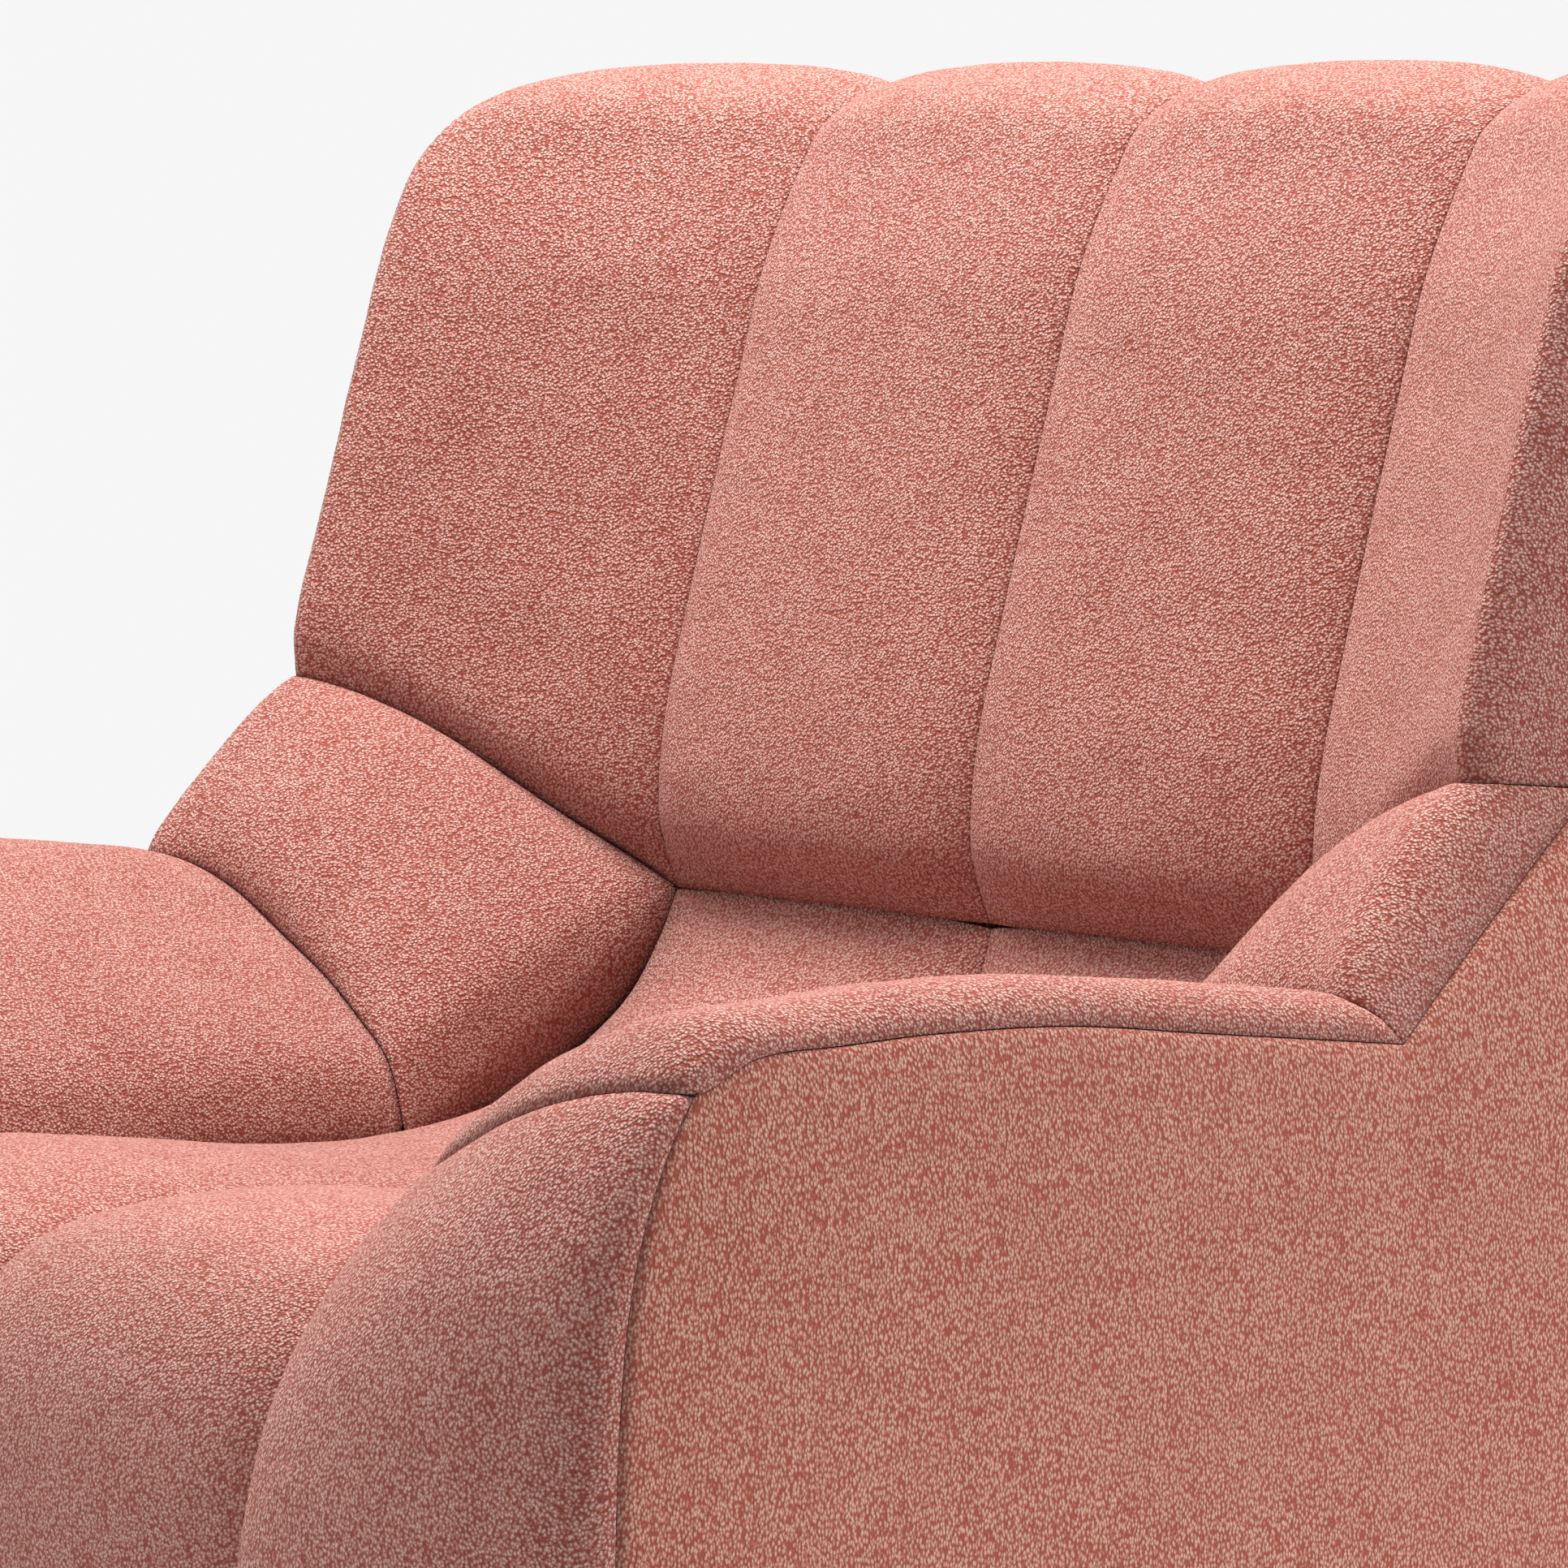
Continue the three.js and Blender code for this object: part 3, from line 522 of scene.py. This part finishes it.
# %% Back columns
crease_height = 535
face_top = 961
back_face = smooth([
    (535, 252), (582, 238), (627, 241), (694, 257), (761, 276),
    (825, 295), (885, 313), (932, 331), (961, 350),
])
over_top = [
    (361, seam_top - 12, 0.95), (384, seam_top + 1, 0.85), (415, seam_top + 7, 0.6),
    (444, seam_top - 6, 0.28), (half_depth - 5, 948, 0.0),
]
under_top = [(402, 934), (410, 937), (419, 940), (428, 942), (436, 944)]
wing_forward = 105
wing_edge = half_width - 45
wing_seam = half_width - 23
wing_round = (wing_edge + wing_seam) / 2 + 4
wing_drop = smooth([
    (wing_edge - 50, 0), (wing_edge - 20, 1), (wing_edge, 6), (wing_round, 22), (wing_seam, 44),
])
wing_turn = smooth([(wing_edge - 1, 0), (wing_edge, 0.2), (wing_round, 14), (wing_seam, 70)])
wing_tuck = smooth([(wing_edge - 25, 0), (wing_edge, 10), (wing_round, 22), (wing_seam, 29)])
wing_depth = smooth([(wing_edge - 40, 1), (wing_edge, 0.7), (wing_round, 0.38), (wing_seam, 0)])
wing_start = smooth([
    (pitch, 0), (pitch + 50, 29), (wing_edge - 10, 112), (wing_edge, 114), (wing_round, 114),
    (wing_seam, 109),
])
risers = [0, 0.04, 0.12, 0.25, 0.4, 0.55, 0.7, 0.85, 1]


def wing_shift(x):
    part = min(1.0, max(0.0, x - pitch) / (wing_edge - pitch))
    return wing_forward * part ** 1.6


def behind(point, y, z):
    depth = wing_depth(point.x)
    return Vector((point.x - wing_tuck(point.x), lerp(point.y, y, depth), lerp(point.z, z, depth)))


def back_column(x, crown):
    outer = []
    inner = []
    start = crease_height + wing_start(x)
    end = face_top - wing_drop(x) * 0.6
    for t in risers:
        z = lerp(start, end, t)
        ends = min(1.0, 0.15 + t * 9)
        y = back_face(z) - wing_shift(x) + wing_turn(x)
        point = Vector((x, y - crown * ends, z - crown * 0.3 * ends + 6 * (1 - ends)))
        rise = (crease_height + wing_start(x - wing_tuck(x)) + 5 - start) * (1 - t)
        outer.append(point)
        body = behind(point, y + lerp(68, 50, t ** 4), z + lerp(6, -30, t ** 4))
        inner.append(body + Vector((0, 0, rise)))
    lifts = (0.55, 0.75, 0.8, 0.6, 0.2)
    rears = (-0.75, -0.4, 0, 0.35, 0.2)
    for (y, z, forward), (deep, low), lift, rear in zip(over_top, under_top, lifts, rears):
        shift = (wing_turn(x) - wing_shift(x)) * forward
        top = z + crown * lift - wing_drop(x)
        point = Vector((x, min(y + shift + crown * rear, half_depth), top))
        outer.append(point)
        inner.append(behind(point, deep + shift * 0.5, low - wing_drop(x)))
    return outer, inner


def wing_column(x):
    """One column of the wing, whose section stays fuller towards its outer seam."""
    u = min(1.0, max(0.0, (x - pitch - seam_gap / 2) / (wing_seam - pitch - seam_gap / 2)))
    crown = swell(u)
    return back_column(x, back_crown * (lerp(0.3, 1, crown) if u > 0.5 else crown))


def channel_column(x):
    return back_column(x, back_crown * swell((x - seam_gap / 2) / (pitch - seam_gap)))


def back_pad(x0, x1, column):
    columns = [column(lerp(x0, x1, u)) for u in stations(40)]
    return finer([c[0] for c in columns], [c[1] for c in columns], 7)


# %% [markdown]
# ## Sewing the back
# The middle channel and the wing are each lofted from forty columns, closer together at their
# seams. The right-hand pads are mirrored from the left-hand ones, as the two halves of the cut
# cloth would be.

# %% Back pads
channel = back_pad(seam_gap / 2, pitch - seam_gap / 2, channel_column)
wing = back_pad(pitch + seam_gap / 2, wing_seam, wing_column)
for side, sign in (("left", 1), ("right", -1)):
    for name, (outer, inner) in (("back_pad_inner", channel), ("back_pad_outer", wing)):
        upholster(
            f"{name}_cushion_{side}", sided(outer, sign), sided(inner, sign), pad_cloth,
            (15, 15, 15, 15), f"{name}_{side}",
        )

# %% [markdown]
# ## Seat pads
# Two channels run from the crease forward, crown just before the front edge and fall down the
# front to the hem. The seam line sits deeper than the crown, so each channel is worked out from
# one side line and sunk by its section.

# %% Seat pads
seat_line = [
    (248, 541), (230, 521), (205, 494), (176, 472), (140, 453), (90, 437), (30, 429),
    (-40, 427), (-120, 433), (-200, 443), (-275, 451), (-340, 450), (-392, 440), (-428, 414),
    (-450, 374), (-460, 322), (-half_depth + 3, 250), (-half_depth + 4, 160),
    (-half_depth + 8, hem),
]
seat_sink = smooth([(0, 0.25), (2, 1), (14, 1), (18, 0.6)])
seat_thick = smooth([(0, 48), (3, 74), (10, 78), (13, 74), (18, 66)])


def seat_normal(k):
    y0, z0 = seat_line[max(0, k - 1)]
    y1, z1 = seat_line[min(len(seat_line) - 1, k + 1)]
    size = math.hypot(y1 - y0, z1 - z0)
    return (z1 - z0) / size, -(y1 - y0) / size


seat_outer = []
seat_inner = []
for u in stations(38):
    x = lerp(seam_gap / 2, pitch - seam_gap / 2, u)
    face = []
    back = []
    for k, (y, z) in enumerate(seat_line):
        ny, nz = seat_normal(k)
        fuller = 0.6 if u > 0.5 else 1
        depth = 26 * (1 - swell(u)) * seat_sink(k) * lerp(fuller, 1, min(1, k / 10))
        face.append(Vector((x, y - ny * depth, max(hem, z - nz * depth))))
        deep = seat_thick(k)
        back.append(Vector((lerp(0.05, pitch - 0.05, u), y - ny * deep, max(hem, z - nz * deep))))
    seat_outer.append(face)
    seat_inner.append(back)
seat_outer, seat_inner = finer(seat_outer, seat_inner, 7)
both_sides("seat_pad", seat_outer, seat_inner, pad_cloth, (15, 15, 15, 15))

# %% [markdown]
# ## Arm pads
# The arm's top is one pad: a section from its outer seam over the crest and down to the seat,
# carried forward from the corner. At the front it turns down to the seam of the facing.

# %% Arm sections
arm_inner = pitch + 3
arm_span = half_width - arm_inner


def arm_columns(outside, inside):
    """Widths across the arm: some in from its outside, three shares of it, some off the seat."""
    shares = [arm_inner + share * arm_span for share in (0.774, 0.643, 0.484)]
    return matching([*(half_width - d for d in outside), *shares, *(arm_inner + d for d in inside)])


arm_width = arm_columns((9, 16, 32), (77, 35, 13, 0))
arm_rear = matching([-44, -30, -22, -26, -38, -60, -82, -106, -124, -150])
arm_front = matching([-16, -5, 1, 0, -8, -27, -58, -94, -122, -150])
arm_tip = matching([-20, -10, -4, -7, -16, -30, -58, -80, -96, -112])
arm_rear_y = matching([66, 54, 42, 50, 57, 61, 60, 56, 56, 57])
upper_x = arm_columns((10, 17, 32), (77, 35, 14, 4))
upper_y = matching([-373, -379, -384, -386, -387, -384, -374, -362, -351, -345])
upper_z = matching([543, 544, 544, 541, 534, 522, 505, 488, 478, 470])


def inner_turn(k):
    """How far the cloth has turned down beside the seat, from 0 to 1 at the inner edge."""
    return max(0.0, (k - 8.2) / 0.8) ** 2


def arm_point(k, t):
    """Point on the arm, k across from the outer seam (0) to the seat (9), t of the way forward."""
    if t < 0.6:
        level = lerp(arm_rear(k), arm_front(k), t / 0.6)
    else:
        level = lerp(arm_front(k), arm_tip(k), (t - 0.6) / 0.4)
    crown = 2 * math.sin(math.pi * min(1, t * 1.1)) * min(1.0, k / 2)
    turn = 9 * inner_turn(k) * (1 - t)
    return Vector((arm_width(k), lerp(arm_rear_y(k), -345, t), arm_crown + level + crown - turn))


def upper_point(k):
    return Vector((upper_x(k), upper_y(k), upper_z(k)))


def spots_across(spacing):
    """Places from 0 to 9 across the arm that are evenly far apart on its middle section."""
    many = [k / 20 for k in range(181)]
    run = lengths([arm_point(k, 0.5) for k in many])
    count = round(run[-1] / spacing)
    level = smooth(list(zip(run, many)))
    return [level(run[-1] * n / count) for n in range(count + 1)]


spots = spots_across(6.5)
print("columns across the arm", len(spots))

# %% [markdown]
# ## Padding the arms
# The pad's inside follows its face at the depth of the foam. It thins towards the outer seam
# and where the pad turns down to the facing, and stays deep beside the seat, so that the gap
# between them stays small.

# %% Arm pads
inward = matching([-23, -19, -10, -4, 2, 6, 9, 9, 5, 1])
deeper = matching([2, 10, 40, 39, 38, 37, 36, 36, 35, 34])
fronts = (0, 0, 0, 0, 0, 0, 0.6, 0.85, 1)
aheads = (-12, 0, 0, 0, 0, 0, 22, 31, 36)
arm_outer = []
arm_inner_face = []
for k in spots:
    line = [arm_point(k, t) for t in (0, 0.14, 0.32, 0.52, 0.72, 0.86)]
    line[0].y -= seam_gap / 2
    last = arm_point(k, 0.98)
    end = upper_point(k)
    line.append(Vector((last.x, min(last.y, end.y + 34), last.z - 1)))
    beside_seat = max(0.0, (k - 6) / 3)
    line.append(end + Vector((0, 10, lerp(lerp(3, 13, min(1.0, k)), 1, beside_seat))))
    line.append(end)
    under = []
    for p, front, ahead in zip(line, fronts, aheads):
        drop = lerp(deeper(k), min(deeper(k), lerp(13, 34, beside_seat ** 2)), front)
        under.append(Vector((p.x + inward(k), p.y + ahead, p.z - drop)))
    arm_outer.append(line)
    arm_inner_face.append(under)
arm_fine, arm_under = finer(arm_outer, arm_inner_face, 6.5)
both_sides("arm_pad", arm_fine, arm_under, pad_cloth, (16, 70, 18, 16), rise=3)

# %% [markdown]
# ## Corner pads
# A puffy pad fills the corner where the wing meets the arm. It is lofted from the arm's rear
# seam up to the wing's lower seam, and swells most where the two channels would crease. Both
# seams are read from the neighbours' own edges, so that the three pads meet.

# %% Corner pads
corner_in = matching([
    arm_width(0) - wing_seam, 12.5, arm_width(2) - wing_edge, 8, 4, 0, 0, 0, 0, 0,
])
corner_bulge = matching([2, 6, 10, 17, 27, 33, 29, 20, 13, 6])
corner_drop = matching([-2, 6, 30, 35, 40, 40, 40, 40, 40, 40])
corner_side = matching([-25, -21, -13, -5, 2, 6, 9, 9, 5, 1])
corner_outer = []
corner_under = []
for k in spots:
    low = arm_point(k, 0) + Vector((0, seam_gap / 2, 0.1))
    x = min(wing_seam, arm_width(k) - corner_in(k))
    high = wing_column(x)[0][0] - Vector((0, 0, seam_gap))
    face = []
    back = []
    for t in stations(34):
        bulge = swell(t) * corner_bulge(k)
        p = low.lerp(high, t) + Vector((-0.35, -0.45, 0.75)) * bulge
        p.z -= 7 * inner_turn(k) * swell(t)
        part = min(1, (k + 1) / 5)
        face.append(p)
        drop = corner_drop(k) + 6 * t * part
        back.append(p + Vector((corner_side(k), lerp(12, 26, t) * part, -drop)))
    corner_outer.append(face)
    corner_under.append(back)
both_sides("corner_pad", corner_outer, corner_under, pad_cloth, (16, 70, 18, 18), rise=2)


# %% [markdown]
# ## Arm facings
# The facing is the narrow padded front of each arm, sewn to the arm pad above and to the outer
# panel beside it. It leans forward as it goes down. A thin line of stitching runs beside its
# inner edge, which the cloth draws from the UV map.


# %% Arm facings
def front_edge(y, foot_y, t, power):
    return lerp(y, foot_y, 1 - (1 - t) ** power)


facing_foot = matching([-416, -424, -431, -438, -446, -453, -459, -462, -460, -452])
facing_power = matching([7, 6.8, 6.6, 6.3, 6.1, 5.9, 5.7, 5.4, 5.2, 5])
facing_narrow = matching([1.5, 0, 0, 0, 0, 0, 0, 0, 3, 6.2])
facing_in = matching([14, 14, 14, 11.1, 8.3, 5.4, 2.6, -0.3, -1, -0.5])
facing_drop = matching([22, 22.3, 22.7, 23, 23.3, 23.7, 24, 34, 38, 36])
facing_rows = (0, 0.02, 0.05, 0.09, 0.14, 0.2, 0.27, 0.36, 0.45, 0.55, 0.65, 0.75, 0.85, 0.93, 1)
facing_outer = []
facing_under = []
for k in spots:
    top = upper_point(k)
    face = []
    back = []
    for t in facing_rows:
        down = lerp(top.z - seam_gap, hem, t)
        forward = front_edge(top.y, facing_foot(k), t, facing_power(k))
        bulge = 9 * math.sin(math.pi * min(1, 0.1 + 0.9 * k / 9)) * min(1, t * 6)
        narrow = facing_narrow(k) * (min(1, t * 4) if k > 7 else 1)
        p = Vector((top.x - narrow, forward - bulge, down))
        if k < 2:
            deep_x = half_width - 37 - k * 3
        else:
            deep_x = max(p.x - facing_in(k), arm_inner + 8.4 - 11 * max(0, k - 8))
        face.append(p)
        back.append(Vector((deep_x, p.y + 26, p.z - facing_drop(k) * (p.z - hem) / 465)))
    facing_outer.append(face)
    facing_under.append(back)
facing_fine, facing_back = finer(facing_outer[::-1], facing_under[::-1], 6.5)
both_sides("arm_facing", facing_fine, facing_back, facing_cloth, (40, 16, 14, 16), rise=3)


# %% [markdown]
# ## Side panels
# The outer panels are thin padding pulled smooth over the frame. A side panel's upper edge
# is read from the outer edges of the arm, the corner and the wing, its front edge from the
# facing, and the panel leans in above the arm.


# %% Side panels
def lean(z):
    return 0.055 * max(0, z - 560)


panel_line = [*arm_fine[0][::-1], *corner_outer[0][1::2], *wing[0][-1][1:]]
arm_count = len(arm_fine[0])
corner_count = arm_count + len(corner_outer[0][1::2])
panel_last = len(panel_line) - 1
panel_run = lengths(panel_line)
front_line = facing_fine[-1][::-1]
front_y = smooth([(p.z, p.y) for p in front_line])
front_x = smooth([(p.z, p.x) for p in front_line])
panel_foot = smooth([
    (0, -412), (arm_count - 1, 60), (corner_count, 190), (panel_last, 442),
])
panel_rows = 90
edge_reach = 90
side_outer = []
side_inner = []
for k, seam in enumerate(panel_line):
    a = panel_line[max(0, k - 1)]
    b = panel_line[min(panel_last, k + 1)]
    size = math.hypot(b.y - a.y, b.z - a.z)
    top_y = seam.y + seam_gap * (b.z - a.z) / size
    top_z = seam.z - seam_gap * (b.y - a.y) / size
    near_front = max(0.0, 1 - panel_run[k] / edge_reach)
    near_end = min(panel_run[k], panel_run[-1] - panel_run[k])
    face = []
    back = []
    for n in range(panel_rows + 1):
        t = 1 - (1 - n / panel_rows) ** 1.3
        z = lerp(hem, top_z, t)
        y = lerp(panel_foot(k), top_y, t)
        straight = lerp(panel_foot(0), panel_line[0].y, t)
        y += near_front * (front_y(z) + seam_gap - straight)
        edge = lerp(seam.x, front_x(z), near_front) - 0.3
        part = min(1, near_end / edge_reach) * min(1, (top_z - z) / edge_reach)
        point = Vector((lerp(edge, half_width, part ** 0.5) - lean(z) * part, y, z))
        face.append(point)
        inside = min(point.x - 6, half_width - 25 - lean(z))
        back.append(Vector((inside, point.y + 14 * near_front, point.z - 5 * t ** 20)))
    side_outer.append(face)
    side_inner.append(back)
both_sides(
    "side_panel", side_outer, side_inner, panel_cloth, (14, 14, 30, 14), "cover",
    fill=0.9, rise=1.0, lump=0.5, pucker=0.5,
)

# %% [markdown]
# ## Back panel
# One panel closes the rear. It fills the width between the side panels and rounds off at its
# edges. Its top edge sinks a few millimetres into the roll of the back pads.

# %% Back panel
panel_half = half_width - 41
back_outer = []
back_inner = []
for u in (-1, -0.97, -0.85, -0.5, 0, 0.5, 0.85, 0.97, 1):
    face = []
    back = []
    for t in (0, 0.06, 0.25, 0.5, 0.75, 0.94, 1):
        z = lerp(hem, 947 - wing_drop(abs(u) * panel_half + 12), t)
        x = u * min(half_width - 30.2, half_width - 26.2 - lean(z))
        rounding = math.sqrt(min(1, (1 - abs(u)) * 9))
        point = Vector((x, lerp(440, half_depth, t) - 4 * (1 - rounding) - (6 if t == 1 else 0), z))
        face.append(point)
        back.append(Vector((x * 0.99, point.y - 18 + 6 * abs(x / panel_half), z)))
    back_outer.append(face)
    back_inner.append(back)
fine_outer, fine_inner = finer_both(back_outer, back_inner, 9)
upholster(
    "back_panel_cover", fine_outer, fine_inner, panel_cloth,
    (14, 14, 30, 14), "back_panel", fill=0.9, rise=0.5, lump=0.5, pucker=0.5,
)

# %% [markdown]
# ## Hard parts
# The frame, the glider and the base keep their exact solids. They get the finishes that such
# parts have under a chair: black powder coat, zinc plate, rubber, sawn pine and a thin black
# lining. Each reads the piece's own coordinates.


# %% Hard finishes
def painted_steel():
    made, tree, shader, here = new_material("powder_coat", 0.42)
    grain = place(tree, "TexNoise", {"Vector": here, "Scale": 1400.0, "Detail": 3.0})
    dust = place(tree, "TexNoise", {"Vector": here, "Scale": 35.0, "Detail": 5.0})
    amount = ramped(tree, dust.outputs["Fac"], 0.5, 0.8, 0.0, 0.35)
    colour = blended(tree, amount, (0.022, 0.023, 0.025, 1), (0.11, 0.105, 0.1, 1))
    rough = ramped(tree, dust.outputs["Fac"], 0.3, 0.8, 0.36, 0.62)
    dressed(tree, shader, colour, grain.outputs["Fac"], 0.25, 0.0004, rough)
    return made


def zinc_plate():
    made, tree, shader, here = new_material("zinc_plate", 0.35, metallic=1.0)
    cells = place(tree, "TexVoronoi", {"Vector": here, "Scale": 320.0})
    haze = place(tree, "TexNoise", {"Vector": here, "Scale": 90.0, "Detail": 4.0})
    tone = place(tree, "SeparateColor", {0: cells.outputs["Color"]}).outputs[0]
    cloudy = maths(tree, "MULTIPLY", haze.outputs["Fac"], 0.6)
    both = maths(tree, "ADD", maths(tree, "MULTIPLY", tone, 0.4), cloudy)
    colour = blended(tree, both, (0.42, 0.44, 0.46, 1), (0.66, 0.67, 0.66, 1))
    rough = ramped(tree, both, 0.2, 0.8, 0.28, 0.5)
    dressed(tree, shader, colour, haze.outputs["Fac"], 0.12, 0.0003, rough)
    return made


def moulded_rubber():
    made, tree, shader, here = new_material("rubber", 0.8)
    grain = place(tree, "TexNoise", {"Vector": here, "Scale": 900.0, "Detail": 4.0})
    bloom = place(tree, "TexNoise", {"Vector": here, "Scale": 60.0, "Detail": 3.0})
    faded = ramped(tree, bloom.outputs["Fac"], 0.4, 0.8, 0.0, 0.6)
    colour = blended(tree, faded, (0.012, 0.012, 0.013, 1), (0.05, 0.05, 0.05, 1))
    rough = ramped(tree, bloom.outputs["Fac"], 0.3, 0.8, 0.7, 0.9)
    dressed(tree, shader, colour, grain.outputs["Fac"], 0.3, 0.0005, rough)
    return made


def sawn_pine():
    made, tree, shader, here = new_material("sawn_pine", 0.7)
    long = place(tree, "Mapping", {"Vector": here, "Scale": (14.0, 14.0, 75.0)})
    rings = place(tree, "TexNoise", {"Vector": long.outputs[0], "Scale": 1.0, "Detail": 5.0})
    rings.inputs["Distortion"].default_value = 0.6
    saw = place(tree, "Mapping", {"Vector": here, "Scale": (420.0, 420.0, 90.0)})
    marks = place(tree, "TexNoise", {"Vector": saw.outputs[0], "Scale": 1.0, "Detail": 3.0})
    grain = ramped(tree, rings.outputs["Fac"], 0.32, 0.68)
    colour = blended(tree, grain, (0.40, 0.235, 0.105, 1), (0.66, 0.47, 0.26, 1))
    fleck = maths(tree, "MULTIPLY", marks.outputs["Fac"], 0.25)
    sawn = blended(tree, fleck, colour, (0.75, 0.6, 0.4, 1))
    rough = ramped(tree, marks.outputs["Fac"], 0.2, 0.8, 0.6, 0.85)
    both = maths(tree, "ADD", maths(tree, "MULTIPLY", grain, 0.4), marks.outputs["Fac"])
    dressed(tree, shader, sawn, both, 0.35, 0.0005, rough)
    return made


def black_lining():
    made, tree, shader, here = new_material("black_lining", 0.95, sheen=0.1)
    felt = place(tree, "TexNoise", {"Vector": here, "Scale": 700.0, "Detail": 4.0})
    dots = place(tree, "TexVoronoi", {"Vector": here, "Scale": 260.0, "Randomness": 0.15})
    colour = blended(tree, felt.outputs["Fac"], (0.012, 0.012, 0.014, 1), (0.045, 0.045, 0.05, 1))
    both = maths(tree, "ADD", dots.outputs["Distance"], felt.outputs["Fac"])
    dressed(tree, shader, colour, both, 0.4, 0.0004)
    return made


finishes = {
    "black_steel": painted_steel(), "zinc": zinc_plate(), "rubber": moulded_rubber(),
    "timber": sawn_pine(), "lining": black_lining(),
}
finished = 0
for part in frame["record"]["subparts"]:
    slot = part["material_slot"]
    if slot in finishes:
        mesh = nodes[part["node"]].data
        mesh.materials.clear()
        mesh.materials.append(finishes[slot])
        finished += 1
print("hard parts finished", finished)

# %% [markdown]
# ## Studio
# A white studio lights the chair from all round. A large soft light overhead makes the tops
# bright, and weaker ones at the chair's right front and left rear leave some shade in the seams.
# The floor is a plain pale disc.

# %% Studio
world = bpy.data.worlds.new("white_studio")
world.use_nodes = True
seen = place(world.node_tree, "LightPath").outputs["Is Camera Ray"]
glow = world.node_tree.nodes["Background"]
glow.inputs[0].default_value = (0.925, 0.925, 0.925, 1)
light_share = 0.46
strength = ramped(world.node_tree, seen, 0.0, 1.0, light_share, 1.0)
world.node_tree.links.new(strength, glow.inputs[1])
bpy.context.scene.world = world
bpy.context.scene.view_settings.view_transform = "Standard"


def soft_light(name, place_at, target, size, power):
    data = bpy.data.lights.new(name, "AREA")
    data.size = size
    data.energy = power
    made = bpy.data.objects.new(name, data)
    made.location = place_at
    made.rotation_euler = (Vector(target) - Vector(place_at)).to_track_quat("-Z", "Y").to_euler()
    bpy.context.scene.collection.objects.link(made)


soft_light("overhead", (-0.2, -0.1, 3.0), (0, 0, 0.5), 1.6, 142)
soft_light("right_front", (-2.8, -1.6, 2.0), (0, 0, 0.6), 1.4, 42)
soft_light("left_rear", (2.5, 1.9, 2.2), (0.4, 0, 0.5), 1.6, 85)
floor_form = bmesh.new()
bmesh.ops.create_circle(floor_form, cap_ends=True, radius=1.35, segments=96)
floor_mesh = bpy.data.meshes.new("floor")
floor_form.to_mesh(floor_mesh)
floor_form.free()
floor = bpy.data.objects.new("floor", floor_mesh)
bpy.context.scene.collection.objects.link(floor)
pale, tree, shader, here = new_material("pale_floor", 0.6)
mottle = place(tree, "TexNoise", {"Vector": here, "Scale": 3.0, "Detail": 3.0})
tree.links.new(
    blended(tree, mottle.outputs["Fac"], (0.80, 0.80, 0.80, 1), (0.84, 0.84, 0.835, 1)),
    shader.inputs["Base Color"],
)
floor_mesh.materials.append(pale)
floor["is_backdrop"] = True

# %% Finish
low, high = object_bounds()
